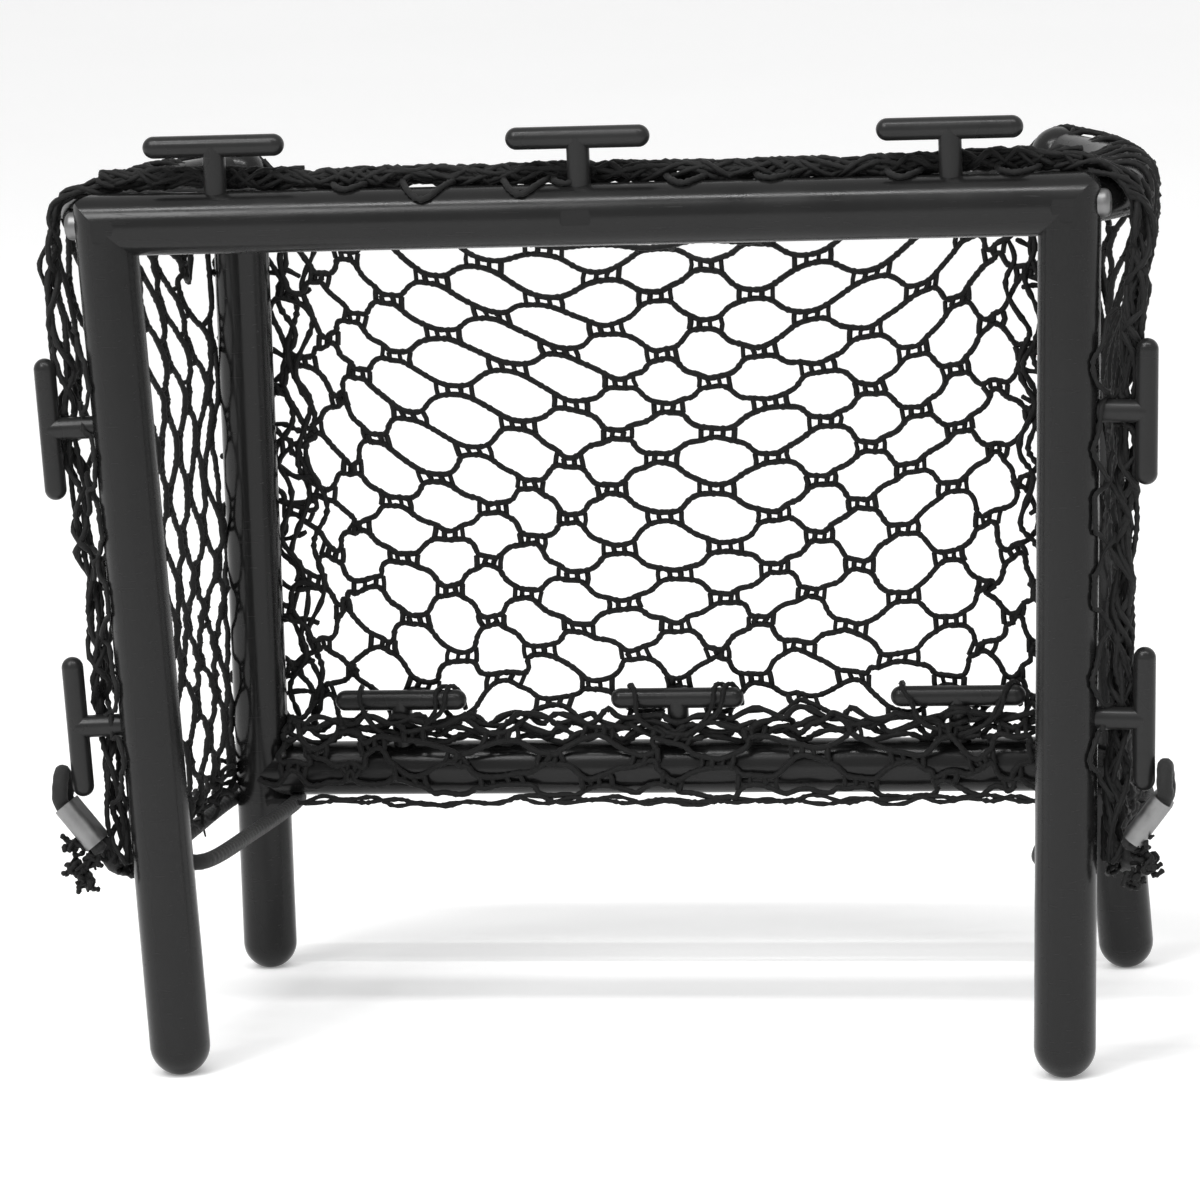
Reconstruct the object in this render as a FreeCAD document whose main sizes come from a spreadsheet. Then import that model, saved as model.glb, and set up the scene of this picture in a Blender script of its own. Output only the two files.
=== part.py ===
import FreeCAD, Part
import math
import os
import Sketcher

# A tabletop hockey goal.  Millimetres, +Z up.  +X is the right-hand post as a shooter sees it
# and +Y points into the goal, so the mouth faces -Y.  Every piece is drawn with the mouth's
# plane at Y = 0 and the surface it stands on at Z = 0.  The last step slides the finished
# pieces forward, so that the origin is below the middle of the whole goal.

DRIVING_SIZES = (
    ("foot_span", 147.0, "front post axes, at the feet"),
    ("corner_span", 156.7, "front post axes, at the crossbar"),
    ("crossbar_height", 141.3, "crossbar axis above the surface"),
    ("front_rod_diameter", 10.0, "crossbar and front posts"),
    ("corner_rounding", 3.3, "outer edge of each front corner"),
    ("foot_flat_depth", 0.2, "small flat on each round foot"),
    ("origin_depth", 37.84, "origin behind the mouth's plane"),
    ("rear_rod_diameter", 9.4, "rear legs and rear bar"),
    ("rear_foot_span", 152.2, "rear leg axes, at the feet"),
    ("rear_top_span", 140.8, "rear leg axes, at the rails"),
    ("rear_foot_depth", 76.0, "rear feet behind the front posts"),
    ("rear_top_depth", 59.1, "rear leg tops behind the front posts"),
    ("rear_top_height", 142.9, "rear leg top centre above the surface"),
    ("rear_bar_height", 36.6, "rear bar axis above the surface"),
    ("rail_diameter", 7.6, "top side rails"),
    ("rail_start_depth", 4.5, "rail axis behind the crossbar axis where it starts"),
    ("rail_flare_angle", 65.0, "rail's first direction, outward from straight back"),
    ("rail_flare_radius", 13.0, "bend that turns the rail straight back"),
    ("hook_bar_length", 23.4, "T bar, tip to tip"),
    ("hook_bar_diameter", 3.6, "T bar"),
    ("hook_stem_diameter", 3.7, "T stem"),
    ("hook_reach", 12.4, "T bar axis from its rod's axis"),
    ("hook_root_depth", 3.5, "stem pressed into its rod"),
    ("crossbar_hook_pitch", 59.7, "between crossbar hooks"),
    ("rear_hook_pitch", 49.0, "between rear bar hooks"),
    ("upper_hook_height", 108.5, "upper post hooks above the surface"),
    ("lower_hook_height", 59.0, "lower post hooks above the surface"),
    ("gate_mark_diameter", 5.0, "round moulding marks"),
    ("gate_mark_depth", 0.15, "round moulding marks"),
    ("dowel_diameter", 3.0, "hidden dowels"),
    ("screw_head_diameter", 4.6, "corner screw"),
    ("screw_head_height", 2.0, "corner screw"),
    ("screw_shank_diameter", 2.6, "corner screw"),
    ("screw_shank_length", 15.0, "corner screw"),
    ("screw_head_seat", 0.45, "head sunk into the post"),
    ("screw_head_rounding", 1.1, "rim of the screw head"),
    ("screw_slot_length", 2.6, "arm of the cross slot"),
    ("screw_slot_width", 0.6, "arm of the cross slot"),
    ("screw_slot_depth", 0.8, "cross slot"),
    ("flare_dowel_length", 7.0, "dowel at a rail's front end"),
    ("crown_dowel_length", 8.0, "dowel at a rail's rear end"),
    ("bar_dowel_length", 9.0, "dowel at each end of the rear bar"),
    ("cord_diameter", 2.6, "elastic side cords"),
    ("cord_height", 31.0, "cord axis above the surface, at the rear leg"),
    ("cord_clearance", 0.25, "cord off the rods it bends round"),
    ("cord_tail", 1.2, "cut end below the ferrule"),
    ("cord_loop_height", 4.9, "stopper loop above the ferrule"),
    ("ferrule_width", 3.6, "crimp ferrule across the two strands' plane"),
    ("ferrule_length", 8.3, "crimp ferrule along the cord"),
    ("ferrule_height", 42.3, "ferrule centre above the surface"),
    ("ferrule_offset", 13.2, "ferrule centre outboard of the post axis"),
    ("ferrule_lean", 38.0, "ferrule's upper end, outward from upright"),
    ("ferrule_play", 0.3, "ferrule bores over the cord's diameter"),
    ("strand_pitch", 3.2, "between the two strands in the ferrule"),
    ("net_thickness", 1.0, "knotted layer of netting"),
    ("hem_diameter", 3.6, "gathered front edge of the netting"),
)

X_AXIS = FreeCAD.Vector(1, 0, 0)
Y_AXIS = FreeCAD.Vector(0, 1, 0)
Z_AXIS = FreeCAD.Vector(0, 0, 1)
SIDES = (("left", -1), ("right", 1))
TRIM_BLOCK = 40.0  # edge of the blocks that trim the mitres
FLOOR_SPAN = 400.0
SPREADSHEET = "Sizes"

# The netting's loft sections.  Side: height, then how far outboard of the post axis and of the
# middle line it hangs.  Back: height, then how far forward its middle sags.  Top: depth behind
# the mouth, half width, and how far its middle hangs.
SIDE_NET_SECTIONS = ((36.5, 9.2, 7.6), (60, 9.6, 7.8), (100, 10.2, 9.0), (134, 10.4, 11.4))
BACK_NET_SECTIONS = ((30.5, 0), (60, 0), (100, 0.5), (124, 2.5), (138, 7))
TOP_NET_SECTIONS = ((6.0, 79.0, 0.3), (18, 87, 1.5), (38, 83, 3.5), (54, 74, 6.0))
SIDE_NET_START = 2.4   # front edge of a side net, behind the mouth's plane
NET_CLEARANCE = 0.65   # netting off the rods it hangs on
QUARTER_SAG = 0.35     # share of the sag that is left halfway to an edge
HEM_TILT = 32          # degrees that the hem sits behind the top of the crossbar

doc = FreeCAD.newDocument("HockeyGoal")
sub_parts = []


def vector(x, y, z):
    return FreeCAD.Vector(x, y, z)


def turn(axis, degrees):
    return FreeCAD.Rotation(axis, degrees)


def placed(base, rotation=None):
    return FreeCAD.Placement(base, rotation or FreeCAD.Rotation())


def aim(base, direction, axis=Z_AXIS):
    """A placement at base whose own axis points along direction."""
    return FreeCAD.Placement(base, FreeCAD.Rotation(axis, direction))


# ---------------------------------------------------------------- spreadsheet


def make_spreadsheet():
    sheet = doc.addObject("Spreadsheet::Sheet", SPREADSHEET)
    for row, (alias, number, note) in enumerate(DRIVING_SIZES, start=1):
        sheet.set(f"A{row}", alias)
        sheet.set(f"B{row}", str(number))
        sheet.setAlias(f"B{row}", alias)
        sheet.set(f"C{row}", note)
    doc.recompute()
    return sheet


sheet = make_spreadsheet()


def size(alias):
    return float(getattr(sheet, alias))


def bind(item, **expressions):
    """Tie properties of a document object to the sheet.  Words in the sheet are written bare."""
    for name, text in expressions.items():
        words = "".join(c if c.isalnum() or c == "_" else f" {c} " for c in text).split()
        known = {row[0] for row in DRIVING_SIZES}
        full = " ".join(f"{SPREADSHEET}.{w}" if w in known else w for w in words)
        item.setExpression(name.replace("__", "."), full.replace(" . ", "."))


# ------------------------------------------------------------ small builders


def cylinder(name, radius, height, placement=None):
    item = doc.addObject("Part::Cylinder", name)
    bind(item, Radius=radius, Height=height)
    item.Placement = placement or placed(vector(0, 0, 0))
    return item


def sphere(name, radius, base):
    item = doc.addObject("Part::Sphere", name)
    bind(item, Radius=radius)
    item.Placement = placed(base)
    return item


def joined(name, shapes):
    item = doc.addObject("Part::MultiFuse", name)
    item.Shapes = shapes
    item.Refine = True
    return item


def trimmed(name, base, tools):
    """base with every tool cut away, one cut after another."""
    for number, tool in enumerate(tools, start=1):
        cut = doc.addObject("Part::Cut", f"{name}_cut_{number}")
        cut.Base = base
        cut.Tool = tool
        cut.Refine = True
        base = cut
    return base


def grouped(name, shapes):
    item = doc.addObject("Part::Compound", name)
    item.Links = shapes
    return item


def keep(item, label):
    """Mark a document object as a finished sub-part."""
    item.Label = label
    sub_parts.append(item)
    return item


def freeform(name, shape):
    item = doc.addObject("Part::Feature", name)
    item.Shape = shape
    item.Placement = placed(vector(0, 0, 0))
    return item


# --------------------------------------------------------------- key points

front_radius = size("front_rod_diameter") / 2
rear_radius = size("rear_rod_diameter") / 2
front_foot_height = front_radius - size("foot_flat_depth")
rear_foot_height = rear_radius - size("foot_flat_depth")
post_rise = size("crossbar_height") - front_foot_height
post_lean = math.degrees(math.atan2((size("corner_span") - size("foot_span")) / 2, post_rise))


def post_foot(side):
    return vector(side * size("foot_span") / 2, 0, front_foot_height)


def post_corner(side):
    return vector(side * size("corner_span") / 2, 0, size("crossbar_height"))


def leg_foot(side):
    return vector(side * size("rear_foot_span") / 2, size("rear_foot_depth"), rear_foot_height)


def leg_top(side):
    return vector(side * size("rear_top_span") / 2, size("rear_top_depth"), size("rear_top_height"))


def along(start, end, height):
    """The point of a rod's axis at a height above the surface."""
    return start + (end - start) * ((height - start.z) / (end.z - start.z))


def leg_axis_at(side, height):
    return along(leg_foot(side), leg_top(side), height)


def post_axis_at(side, height):
    return along(post_foot(side), post_corner(side), height)


# ------------------------------------------------------------ front corners


def corner_bisector(side):
    """Unit vector from a front corner's centre towards the middle of the mouth."""
    inward = vector(-side, 0, 0)
    down = (post_foot(side) - post_corner(side)).normalize()
    return (inward + down).normalize()


def mitre_block(name, side, towards):
    """A block that fills the towards side of a corner's mitre plane."""
    bisector = corner_bisector(side)
    normal = bisector.cross(Y_AXIS).normalize()
    if normal.dot(towards) < 0:
        normal = normal * -1
    block = doc.addObject("Part::Box", name)
    block.Length = block.Width = block.Height = TRIM_BLOCK
    spin = aim(vector(0, 0, 0), normal).Rotation
    corner = vector(-TRIM_BLOCK / 2, -TRIM_BLOCK / 2, 0)
    block.Placement = FreeCAD.Placement(post_corner(side) + spin.multVec(corner), spin)
    return block


def rounding_tool(name, side):
    """What lies outside the rounded outer edge of a mitred corner."""
    bisector = corner_bisector(side)
    half_angle = (90 - post_lean) / 2
    rounding = size("corner_rounding")
    inset = (front_radius - rounding) / math.sin(math.radians(half_angle))
    centre = post_corner(side) - bisector * inset
    block = doc.addObject("Part::Box", f"{name}_block")
    bind(block, Length="corner_rounding * 1.6", Height="corner_rounding * 1.6",
         Width="front_rod_diameter * 1.2")
    outward = math.degrees(math.atan2(-bisector.x, -bisector.z))
    spin = turn(Y_AXIS, outward - 45)
    half_width = vector(0, -front_radius * 1.2, 0)
    block.Placement = FreeCAD.Placement(centre + half_width, spin)
    core = cylinder(f"{name}_core", "corner_rounding", "front_rod_diameter * 1.4",
                    aim(centre - Y_AXIS * front_radius * 1.4, Y_AXIS))
    return trimmed(name, block, [core])


def floor_block():
    """A block below the surface, which leaves a small flat on each round foot."""
    block = doc.addObject("Part::Box", "floor_block")
    block.Length = FLOOR_SPAN
    block.Width = FLOOR_SPAN
    block.Height = TRIM_BLOCK
    block.Placement = placed(vector(-FLOOR_SPAN / 2, -FLOOR_SPAN / 2, -TRIM_BLOCK))
    return block


def gate_mark(name, point):
    """A shallow round recess in the front of the frame."""
    base = point - Y_AXIS * front_radius
    return cylinder(name, "gate_mark_diameter / 2", "gate_mark_depth * 2",
                    aim(base - Y_AXIS * size("gate_mark_depth"), Y_AXIS))


# -------------------------------------------------------------------- hooks


def attached_sketch(body, name, role, offset=None):
    sketch = body.newObject("Sketcher::SketchObject", name)
    plane = next(f for f in body.Origin.OriginFeatures if f.Role == role)
    sketch.AttachmentSupport = [(plane, "")]
    sketch.MapMode = "FlatFace"
    if offset:
        bind(sketch, **offset)
    return sketch


def make_hook(label, rod_diameter, point, outward, bar_direction):
    """A T-shaped peg: a round stem pressed into a rod, and a round-ended bar across its tip."""
    body = doc.addObject("PartDesign::Body", label)

    stem = attached_sketch(body, f"{label}_stem_outline", "XY_Plane",
                           {"AttachmentOffset__Base__z": f"{rod_diameter} / 2 - hook_root_depth"})
    stem.addGeometry(Part.Circle(vector(0, 0, 0), Z_AXIS, size("hook_stem_diameter") / 2), False)
    stem.addConstraint(Sketcher.Constraint("Coincident", 0, 3, -1, 1))
    radius = stem.addConstraint(Sketcher.Constraint("Radius", 0, size("hook_stem_diameter") / 2))
    bind(stem, **{f"Constraints[{radius}]": "hook_stem_diameter / 2"})
    pad = body.newObject("PartDesign::Pad", f"{label}_stem")
    pad.Profile = stem
    bind(pad, Length=f"hook_reach - {rod_diameter} / 2 + hook_root_depth")

    bar_radius = size("hook_bar_diameter") / 2
    half = size("hook_bar_length") / 2 - bar_radius
    bar = attached_sketch(body, f"{label}_bar_outline", "XZ_Plane",
                          {"AttachmentOffset__Base__y": "hook_reach"})
    bar.addGeometry([
        Part.LineSegment(vector(-half - bar_radius, 0, 0), vector(half + bar_radius, 0, 0)),
        Part.ArcOfCircle(Part.Circle(vector(half, 0, 0), Z_AXIS, bar_radius), 0, math.pi / 2),
        Part.LineSegment(vector(half, bar_radius, 0), vector(-half, bar_radius, 0)),
        Part.ArcOfCircle(Part.Circle(vector(-half, 0, 0), Z_AXIS, bar_radius), math.pi / 2, math.pi),
    ], False)
    bar.addConstraint([
        Sketcher.Constraint("Coincident", 0, 2, 1, 1),
        Sketcher.Constraint("Tangent", 1, 2, 2, 1),
        Sketcher.Constraint("Tangent", 2, 2, 3, 1),
        Sketcher.Constraint("Coincident", 3, 2, 0, 1),
        Sketcher.Constraint("PointOnObject", 0, 1, -1),
        Sketcher.Constraint("Symmetric", 0, 1, 0, 2, -2),
        Sketcher.Constraint("PointOnObject", 1, 3, 0),
        Sketcher.Constraint("PointOnObject", 3, 3, 0),
        Sketcher.Constraint("Equal", 1, 3),
    ])
    length = bar.addConstraint(Sketcher.Constraint("DistanceX", 0, 1, 0, 2, size("hook_bar_length")))
    round_end = bar.addConstraint(Sketcher.Constraint("Radius", 1, bar_radius))
    bind(bar, **{f"Constraints[{length}]": "hook_bar_length",
                 f"Constraints[{round_end}]": "hook_bar_diameter / 2"})
    spin = body.newObject("PartDesign::Revolution", f"{label}_bar")
    spin.Profile = bar
    spin.ReferenceAxis = (bar, ["H_Axis"])
    spin.Angle = 360.0

    across = outward.cross(bar_direction).normalize()
    frame = FreeCAD.Matrix(
        bar_direction.x, across.x, outward.x, point.x,
        bar_direction.y, across.y, outward.y, point.y,
        bar_direction.z, across.z, outward.z, point.z,
        0, 0, 0, 1)
    body.Placement = FreeCAD.Placement(frame)
    return keep(body, label)


def hook_bore(name, rod_diameter, hook):
    """The blind hole that a hook's stem is pressed into."""
    placement = hook.Placement
    start = placement.multVec(vector(0, 0, size(rod_diameter) / 2 - size("hook_root_depth")))
    outward = placement.Rotation.multVec(Z_AXIS)
    return cylinder(name, "hook_stem_diameter / 2", "hook_root_depth * 2", aim(start, outward))


def crossbar_hooks():
    places = (("left", -1), ("centre", 0), ("right", 1))
    pitch = size("crossbar_hook_pitch")
    height = size("crossbar_height")
    return [make_hook(f"crossbar_hook_{word}", "front_rod_diameter",
                      vector(step * pitch, 0, height), Z_AXIS, X_AXIS)
            for word, step in places]


def post_hooks(word, side):
    up = (post_corner(side) - post_foot(side)).normalize()
    outward = Y_AXIS.cross(up) * side
    heights = (("upper", size("upper_hook_height")), ("lower", size("lower_hook_height")))
    return [make_hook(f"{word}_post_hook_{level}", "front_rod_diameter",
                      post_axis_at(side, height), outward, up)
            for level, height in heights]


def rear_bar_hooks():
    places = (("left", -1), ("centre", 0), ("right", 1))
    lean = (leg_top(0) - leg_foot(0)).normalize()
    middle = leg_axis_at(0, size("rear_bar_height"))
    pitch = size("rear_hook_pitch")
    return [make_hook(f"rear_bar_hook_{word}", "rear_rod_diameter",
                      middle + X_AXIS * step * pitch, lean, X_AXIS)
            for word, step in places]


# ------------------------------------------------------- screws and dowels


def make_screw(word, side):
    """A pan-headed screw along the crossbar's axis, through the top of a post."""
    seat = post_corner(side) + X_AXIS * side * (front_radius - size("screw_head_seat"))
    inward = X_AXIS * -side
    outward = X_AXIS * side
    head = cylinder(f"{word}_screw_head", "screw_head_diameter / 2", "screw_head_height",
                    aim(seat, outward))
    shank = cylinder(f"{word}_screw_shank", "screw_shank_diameter / 2", "screw_shank_length",
                     aim(seat, inward))
    point = doc.addObject("Part::Cone", f"{word}_screw_point")
    bind(point, Radius1="screw_shank_diameter / 2", Height="screw_shank_diameter")
    point.Radius2 = 0
    point.Placement = aim(seat + inward * size("screw_shank_length"), inward)
    blank = joined(f"{word}_screw_blank", [head, shank, point])

    rounded = doc.addObject("Part::Fillet", f"{word}_screw_rounded")
    rounded.Base = blank
    doc.recompute()
    top = seat.x + side * size("screw_head_height")
    rims = [number for number, edge in enumerate(blank.Shape.Edges, start=1)
            if abs(edge.BoundBox.XMin - top) < 0.01 and abs(edge.BoundBox.XMax - top) < 0.01]
    rounding = size("screw_head_rounding")
    rounded.Edges = [(number, rounding, rounding) for number in rims]

    slots = []
    arm, gap = "screw_slot_length", "screw_slot_width"
    for number, (width, height) in enumerate(((arm, gap), (gap, arm)), start=1):
        slot = doc.addObject("Part::Box", f"{word}_screw_slot_{number}")
        bind(slot, Length="screw_slot_depth * 2", Width=width, Height=height)
        slot.Placement = placed(vector(top - size("screw_slot_depth"), -size(width) / 2,
                                       seat.z - size(height) / 2))
        slots.append(slot)
    return trimmed(f"{word}_screw", rounded, slots), blank


def make_dowel(name, middle, direction, length):
    start = middle - direction * (size(length) / 2)
    return cylinder(name, "dowel_diameter / 2", length, aim(start, direction))


# -------------------------------------------------------------------- rails


def rail_arcs():
    """Flare radius and angle, then the radius and angle of the long bend to the rear leg."""
    flare = math.radians(size("rail_flare_angle"))
    radius = size("rail_flare_radius")
    widest = size("corner_span") / 2 + radius * (1 - math.cos(flare))
    bend_start = size("rail_start_depth") + radius * math.sin(flare)
    across = widest - size("rear_top_span") / 2
    deep = size("rear_top_depth") - bend_start
    long_radius = (across ** 2 + deep ** 2) / (2 * across)
    return radius, flare, long_radius, math.asin(deep / long_radius)


def make_rail_rod(word, side):
    """The bowed rod of a top side rail: a short flare outward, then one long bend inward."""
    radius, flare, long_radius, bend = rail_arcs()
    body = doc.addObject("PartDesign::Body", f"{word}_rail_rod")
    spine = attached_sketch(body, f"{word}_rail_path", "XY_Plane")
    first = vector(-side * radius, 0, 0)
    turned = vector(math.cos(flare) * side, math.sin(flare), 0)
    second = first + turned * (radius - long_radius)
    arcs = []
    for centre, reach, start, sweep in ((first, radius, 0, flare), (second, long_radius, flare, bend)):
        low, high = start, start + sweep
        if side < 0:
            low, high = math.pi - high, math.pi - low
        arcs.append(Part.ArcOfCircle(Part.Circle(centre, Z_AXIS, reach), low, high))
    spine.addGeometry(arcs, False)
    near, far = (1, 2) if side > 0 else (2, 1)
    spine.addConstraint([
        Sketcher.Constraint("Coincident", 0, near, -1, 1),
        Sketcher.Constraint("Tangent", 0, far, 1, near),
        Sketcher.Constraint("PointOnObject", 0, 3, -1),
    ])
    bent = spine.addConstraint(Sketcher.Constraint("Radius", 0, radius))
    bind(spine, **{f"Constraints[{bent}]": "rail_flare_radius"})

    outline = attached_sketch(body, f"{word}_rail_outline", "XZ_Plane")
    outline.addGeometry(Part.Circle(vector(0, 0, 0), Z_AXIS, size("rail_diameter") / 2), False)
    outline.addConstraint(Sketcher.Constraint("Coincident", 0, 3, -1, 1))
    wide = outline.addConstraint(Sketcher.Constraint("Radius", 0, size("rail_diameter") / 2))
    bind(outline, **{f"Constraints[{wide}]": "rail_diameter / 2"})

    pipe = body.newObject("PartDesign::AdditivePipe", f"{word}_rail_pipe")
    pipe.Profile = outline
    pipe.Spine = spine
    climb = math.atan2(size("rear_top_height") - size("crossbar_height"),
                       size("rear_top_depth") - size("rail_start_depth"))
    spin = turn(X_AXIS, math.degrees(climb)).multiply(turn(Z_AXIS, -side * math.degrees(flare)))
    body.Placement = FreeCAD.Placement(rail_start(side), spin)
    return body


def rail_start(side):
    return post_corner(side) + Y_AXIS * size("rail_start_depth")


def rail_first_direction(side):
    flare = math.radians(size("rail_flare_angle"))
    return vector(side * math.sin(flare), math.cos(flare), 0)


def rail_last_direction(side):
    bend = rail_arcs()[3]
    return vector(-side * math.sin(bend), math.cos(bend), 0)


# -------------------------------------------------------------------- frame


def rod_between(name, diameter, start, end):
    item = cylinder(name, f"{diameter} / 2", f"{diameter}", aim(start, (end - start).normalize()))
    item.setExpression("Height", str((end - start).Length))
    return item


def make_frame():
    floor = floor_block()
    hooks_on_crossbar = crossbar_hooks()
    hooks_on_bar = rear_bar_hooks()
    crossbar_tools = [hook_bore(f"{hook.Label}_bore", "front_rod_diameter", hook)
                      for hook in hooks_on_crossbar]
    crossbar_tools.append(gate_mark("crossbar_gate_mark", vector(0, 0, size("crossbar_height"))))
    crossbar_trims = []
    bar_trims = []
    screws = []
    rail_dowels = []
    bar_dowels = []
    overrun = X_AXIS * front_radius * 1.5
    crossbar_rod = rod_between("crossbar_rod", "front_rod_diameter",
                               post_corner(-1) - overrun, post_corner(1) + overrun)
    for word, side in SIDES:
        up = (post_corner(side) - post_foot(side)).normalize()
        post_rod = rod_between(f"{word}_post_rod", "front_rod_diameter",
                               post_foot(side), post_corner(side) + up * front_radius * 1.5)
        foot = sphere(f"{word}_post_foot", "front_rod_diameter / 2", post_foot(side))
        inward = X_AXIS * -side
        above = mitre_block(f"{word}_mitre_above", side, inward)
        below = mitre_block(f"{word}_mitre_below", side, up * -1)
        rounding = rounding_tool(f"{word}_rounding", side)
        post_blank = trimmed(f"{word}_post_blank",
                             joined(f"{word}_post_stock", [post_rod, foot]),
                             [above, rounding, floor])
        crossbar_trims += [below, rounding]

        leg_rod = rod_between(f"{word}_leg_rod", "rear_rod_diameter", leg_foot(side), leg_top(side))
        leg_ends = [sphere(f"{word}_leg_foot", "rear_rod_diameter / 2", leg_foot(side)),
                    sphere(f"{word}_leg_crown", "rear_rod_diameter / 2", leg_top(side))]
        leg_blank = trimmed(f"{word}_leg_blank",
                            joined(f"{word}_leg_stock", [leg_rod] + leg_ends), [floor])

        screw, screw_blank = make_screw(word, side)
        screws.append(screw)
        crossbar_tools.append(screw_blank)
        flare = rail_first_direction(side)
        front_dowel = make_dowel(f"{word}_rail_front_dowel",
                                 rail_start(side) + flare * (size("flare_dowel_length") / 4),
                                 flare, "flare_dowel_length")
        arrival = rail_last_direction(side)
        rear_dowel = make_dowel(f"{word}_rail_rear_dowel",
                                leg_top(side) - arrival * (size("crown_dowel_length") / 2),
                                arrival, "crown_dowel_length")
        rail_dowels += [front_dowel, rear_dowel]
        crossbar_tools.append(front_dowel)
        bar_end = leg_axis_at(side, size("rear_bar_height"))
        bar_dowel = make_dowel(f"{word}_bar_dowel",
                               bar_end + inward * (size("bar_dowel_length") / 2),
                               X_AXIS, "bar_dowel_length")
        bar_dowels.append(bar_dowel)

        hooks = post_hooks(word, side)
        bores = [hook_bore(f"{hook.Label}_bore", "front_rod_diameter", hook) for hook in hooks]
        marks = [gate_mark(f"{word}_gate_mark", post_corner(side))]
        post = trimmed(f"{word}_post", post_blank, bores + marks + [screw_blank, front_dowel])
        keep(post, f"{word}_front_post")
        crossbar_tools.append(marks[0])
        leg = trimmed(f"{word}_leg", leg_blank, [rear_dowel, bar_dowel])
        keep(leg, f"{word}_rear_leg")
        bar_trims.append(leg_blank)

        rail = make_rail_rod(word, side)
        corner_blank = trimmed(f"{word}_corner_blank", crossbar_rod, [below, rounding])
        rail = trimmed(f"{word}_rail", rail,
                       [post_blank, corner_blank, leg_blank, front_dowel, rear_dowel])
        keep(rail, f"{word}_top_rail")

    crossbar = trimmed("crossbar_trimmed", crossbar_rod, crossbar_trims + crossbar_tools)
    keep(crossbar, "crossbar")
    bar_rod = rod_between("rear_bar_rod", "rear_rod_diameter",
                          leg_axis_at(-1, size("rear_bar_height")),
                          leg_axis_at(1, size("rear_bar_height")))
    bar_bores = [hook_bore(f"{hook.Label}_bore", "rear_rod_diameter", hook) for hook in hooks_on_bar]
    keep(trimmed("rear_bar_trimmed", bar_rod, bar_trims + bar_dowels + bar_bores), "rear_bar")
    keep(grouped("screw_group", screws), "corner_screws")
    keep(grouped("rail_dowel_group", rail_dowels), "rail_dowels")
    keep(grouped("bar_dowel_group", bar_dowels), "rear_bar_dowels")


# ------------------------------------------------------- cords and ferrules


def spline(points):
    curve = Part.BSplineCurve()
    curve.interpolate(points)
    return curve


def swept_round(points, radius):
    """A round cord that follows a smooth path through points."""
    curve = spline(points)
    path = Part.Wire(curve.toShape())
    start = curve.value(curve.FirstParameter)
    heading = curve.tangent(curve.FirstParameter)[0]
    ring = Part.Wire(Part.makeCircle(radius, start, heading))
    return path.makePipeShell([ring], True, False)


def ferrule_centre(side):
    axis = post_axis_at(side, size("ferrule_height"))
    return axis + vector(side * size("ferrule_offset"), 0, 0)


def ferrule_spin(side):
    return turn(Y_AXIS, side * size("ferrule_lean"))


def strand_offset():
    return Y_AXIS * (size("strand_pitch") / 2)


def cord_points():
    """The right cord: from its cut end up through the ferrule, over a stopper loop and down
    again, back along the outside, round the rear leg, and forward to the back of the post."""
    ferrule = ferrule_centre(1)
    rise = ferrule_spin(1).multVec(Z_AXIS)
    apart = strand_offset()
    half = size("ferrule_length") / 2
    tail = rise * (half + size("cord_tail"))
    head = rise * (half + size("cord_tail") / 2)
    loop = Z_AXIS * size("cord_loop_height")
    shoulder = ferrule + head + loop * 0.45
    going_up = [ferrule - tail, ferrule - rise * (half / 2), ferrule, ferrule + rise * (half / 2),
                ferrule + head]
    path = [point - apart for point in going_up]
    path += [shoulder - apart * 1.3, ferrule + head + loop, shoulder + apart * 1.3]
    path += [point + apart for point in reversed(going_up)]

    low = size("cord_height")
    radius = size("cord_diameter") / 2 + size("cord_clearance")
    leg = leg_axis_at(1, low)
    round_leg = rear_radius + radius
    slant = round_leg * math.sqrt(0.5)
    outside = leg.x + round_leg
    inside = leg.x - round_leg
    halfway = leg.y / 2
    path += [
        vector(outside + radius * 2, front_radius, low + radius * 2),
        vector(outside + radius, front_radius * 3, low + radius / 2),
        vector(outside + radius / 2, halfway, low),
        vector(outside, leg.y - radius * 2, low),
        vector(leg.x + slant, leg.y + slant, low),
        vector(leg.x, leg.y + round_leg, low),
        vector(leg.x - slant, leg.y + slant, low),
        vector(inside, leg.y - radius * 2, low),
        vector(inside, halfway, low + radius),
    ]
    post = post_axis_at(1, low)
    behind_post = front_radius + radius
    path += [
        vector(post.x - front_radius, behind_post + radius, low + radius * 2),
        vector(post.x + radius, behind_post, low + radius * 2.5),
    ]
    return path


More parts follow.
